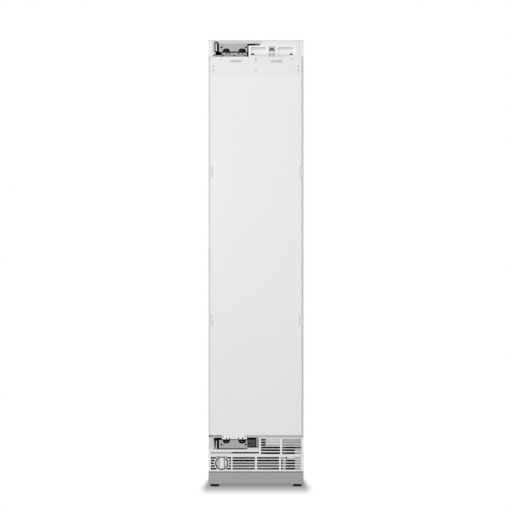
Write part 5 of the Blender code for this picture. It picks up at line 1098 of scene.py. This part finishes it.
# painted shade: the strap slots are drawn as black plates
slabs("strap_slots", "hole_black", THIN, on_top, 2.0430, 2.0438,
      [rounded_rect(x - 0.018, x + 0.018, 0.2705, 0.2785, 0.0039) for x in (-0.055, 0.055)])
studs("strap_screws", [(-0.098, 0.274), (0.0, 0.274), (0.098, 0.274)], on_top, 0.0060, 2.0436, 0.0028)


def tube(name, points, radius, look):
    """a bent tube along smooth points"""
    curve = bpy.data.curves.new(name, "CURVE")
    curve.dimensions = "3D"
    spline = curve.splines.new("NURBS")
    spline.points.add(len(points) - 1)
    for target, point in zip(spline.points, points):
        target.co = (*point, 1)
    spline.use_endpoint_u = True
    spline.order_u = 3
    spline.resolution_u = 6
    curve.bevel_depth = radius
    curve.bevel_resolution = 2
    curve.use_fill_caps = True
    route = link_object(name, curve)
    graph = bpy.context.evaluated_depsgraph_get()
    mesh = bpy.data.meshes.new_from_object(route.evaluated_get(graph))
    bpy.data.objects.remove(route)
    made = wear(link_object(name, mesh), look)
    for polygon in mesh.polygons:
        polygon.use_smooth = True
    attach(made, "cabinet")


CONDUIT = [(0.150, -0.0010, 2.0475), (0.150, 0.030, 2.0470), (0.152, 0.080, 2.0468), (0.158, 0.150, 2.0468),
           (0.160, 0.230, 2.0468), (0.160, 0.292, 2.0468)]
tube("roof_conduit", CONDUIT, 0.0052, "black_moulding")
for index, y in enumerate((0.04, 0.22)):
    plates("conduit_clip_%d" % index, "white_moulding", 0.0010,
           [((0.143, y - 0.006, 2.0414), (0.168, y + 0.006, 2.0424)),
            ((0.147, y - 0.006, 2.0414), (0.1635, y + 0.006, 2.0527))])


# inside: trims, marks, caps

def rim_trim(name, margin, depth, place, face):
    """a thin trim on a bin's rim: its margin below the rim, its lower edge, and the face that it lies on"""
    low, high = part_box(name)
    outline = rounded_rect(low[0] + 0.0006, high[0] - 0.0006, high[2] - depth, high[2] - margin, 0.0020)
    slabs(name + "_trim", "trim_steel", 0.0002, place, face - 0.0004, face + 0.0004, [outline],
          body=body_of_node(name))


for name in ("drawer_lower", "drawer_middle", "drawer_upper", "ice_bin"):
    rim_trim(name, 0.0006, 0.0090, on_front, -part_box(name)[0][1])
for name in ("glass_shelf_1", "glass_shelf_2", "glass_shelf_3"):
    low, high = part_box(name)
    plates(name + "_trim", "trim_steel", 0.0006, [((low[0] + 0.001, low[1] - 0.0003, low[2] - 0.0008),
                                                   (high[0] - 0.001, low[1] + 0.0085, high[2] + 0.0008))],
           body=body_of_node(name))
for name in ("door_rack_1", "door_rack_2"):
    rim_trim(name, 0.0010, 0.0110, on_back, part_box(name)[1][1])
low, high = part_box("control_panel")
middle = (low[2] + high[2]) / 2
slabs("panel_window", "dark_box", THIN, on_front, -low[1] - 0.0003, -low[1] + 0.0002,
      [around(0.0, middle, 0.036, 0.0065, 0.002)])
marks = [(x, middle) for x in (-0.130, -0.100, -0.070, 0.070, 0.100, 0.130)]
studs("panel_marks", marks, on_front, 0.0032, -low[1], 0.0002, "light_moulding")
low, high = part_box("evaporator_cover")
caps = [(x, z) for x in (-0.148, 0.148) for z in (low[2] + 0.014, (low[2] + high[2]) / 2, high[2] - 0.014)]
studs("cover_caps", caps, on_front, 0.0058, -low[1], 0.0016, "grey_moulding")


# floor, light and camera

def seen_by_camera(tree):
    """1 for rays that show a surface, 0 for rays that light others"""
    path = add_node(tree, "ShaderNodeLightPath").outputs
    shown = math_node(tree, "MAXIMUM", path["Is Camera Ray"], path["Is Glossy Ray"])
    return math_node(tree, "MAXIMUM", shown, path["Is Transmission Ray"])


def mixed(tree, share, one, two):
    return add_node(tree, "ShaderNodeMixShader", {0: share, 1: one.outputs[0], 2: two.outputs[0]})


def painted_shadow_share(tree):
    """how much of the floor is plain white: little at the part's feet, all of it a short way off; this mask
    paints the shadow's fall-off around the feet, over the real shadow on the darker floor there
    """
    def calc(operation, one, two=None):
        return math_node(tree, operation, one, two)

    place = add_node(tree, "ShaderNodeNewGeometry").outputs["Position"]
    x, y = list(add_node(tree, "ShaderNodeSeparateXYZ", {0: place}).outputs)[:2]
    width = add_node(tree, "ShaderNodeMapRange", {"Value": y, "From Min": -0.34, "From Max": -0.06,
                                                  "To Min": 0.052, "To Max": 0.014}).outputs[0]
    aside = calc("DIVIDE", calc("MAXIMUM", calc("SUBTRACT", calc("ABSOLUTE", x), 0.2235), 0.0), width)
    ahead = calc("DIVIDE", calc("MAXIMUM", calc("SUBTRACT", FACE, y), 0.0), 0.245)
    behind = calc("DIVIDE", calc("MAXIMUM", calc("SUBTRACT", y, 0.3), 0.0), 0.10)
    along = calc("ADD", ahead, behind)
    away = calc("SQRT", calc("ADD", calc("POWER", aside, 2.0), calc("POWER", along, 2.0)))
    rise = {"Value": away, "To Min": 0.26}
    return add_node(tree, "ShaderNodeMapRange", rise, interpolation_type="SMOOTHSTEP").outputs[0]


def floor_material():
    made = bpy.data.materials.new("floor_white")
    made.use_nodes = True
    tree = made.node_tree
    tree.nodes.clear()
    plain = add_node(tree, "ShaderNodeBsdfDiffuse", {"Color": (*grey(0.86), 1)})
    # painted shadow: near the feet the floor shows a dark grey diffuse, which the mask fades to white
    shaded = add_node(tree, "ShaderNodeBsdfDiffuse", {"Color": (*grey(0.3), 1)})
    shown = mixed(tree, painted_shadow_share(tree), shaded, add_node(tree, "ShaderNodeEmission"))
    whole = mixed(tree, seen_by_camera(tree), plain, shown)
    add_node(tree, "ShaderNodeOutputMaterial", {"Surface": whole.outputs[0]})
    return made


def make_floor():
    form = bmesh.new()
    bmesh.ops.create_grid(form, x_segments=8, y_segments=8, size=9.0)
    mesh = bpy.data.meshes.new("studio_floor")
    form.to_mesh(mesh)
    form.free()
    mesh.materials.append(floor_material())
    link_object("studio_floor", mesh)


def make_world(ambient):
    world = bpy.data.worlds.new("studio")
    bpy.context.scene.world = world
    world.use_nodes = True
    tree = world.node_tree
    tree.nodes.clear()
    lit = add_node(tree, "ShaderNodeBackground", {"Color": (1, 1, 1, 1), "Strength": ambient})
    shown = add_node(tree, "ShaderNodeBackground", {"Color": (1, 1, 1, 1)})
    both = mixed(tree, seen_by_camera(tree), lit, shown)
    add_node(tree, "ShaderNodeOutputWorld", {"Surface": both.outputs[0]})


def area_light(name, place, target, size, power):
    data = bpy.data.lights.new(name, "AREA")
    data.shape = "RECTANGLE"
    data.size, data.size_y = size
    data.energy = power
    made = link_object(name, data)
    made.location = place
    made.rotation_euler = (Vector(target) - Vector(place)).to_track_quat("-Z", "Y").to_euler()


def make_camera():
    data = bpy.data.cameras.new("camera")
    data.sensor_width = 36.0
    data.lens = 88.816
    data.clip_end = 60.0
    made = link_object("camera", data)
    made.location = (-0.0002, FACE - 6.0, 1.0949)
    made.rotation_euler = (math.radians(90), 0.0, 0.0)
    bpy.context.scene.camera = made


make_floor()
make_world(0.36)
area_light("key", (-1.5, -6.1, 1.9), (0.0, -0.3, 1.1), (2.4, 2.4), 148.0)
area_light("fill", (0.9, -6.4, 1.1), (0.0, -0.3, 0.9), (2.2, 2.2), 30.0)
area_light("top", (-0.2, -1.0, 4.6), (0.0, -0.1, 0.0), (3.4, 2.6), 40.0)
make_camera()
bpy.context.scene.view_settings.view_transform = "Standard"
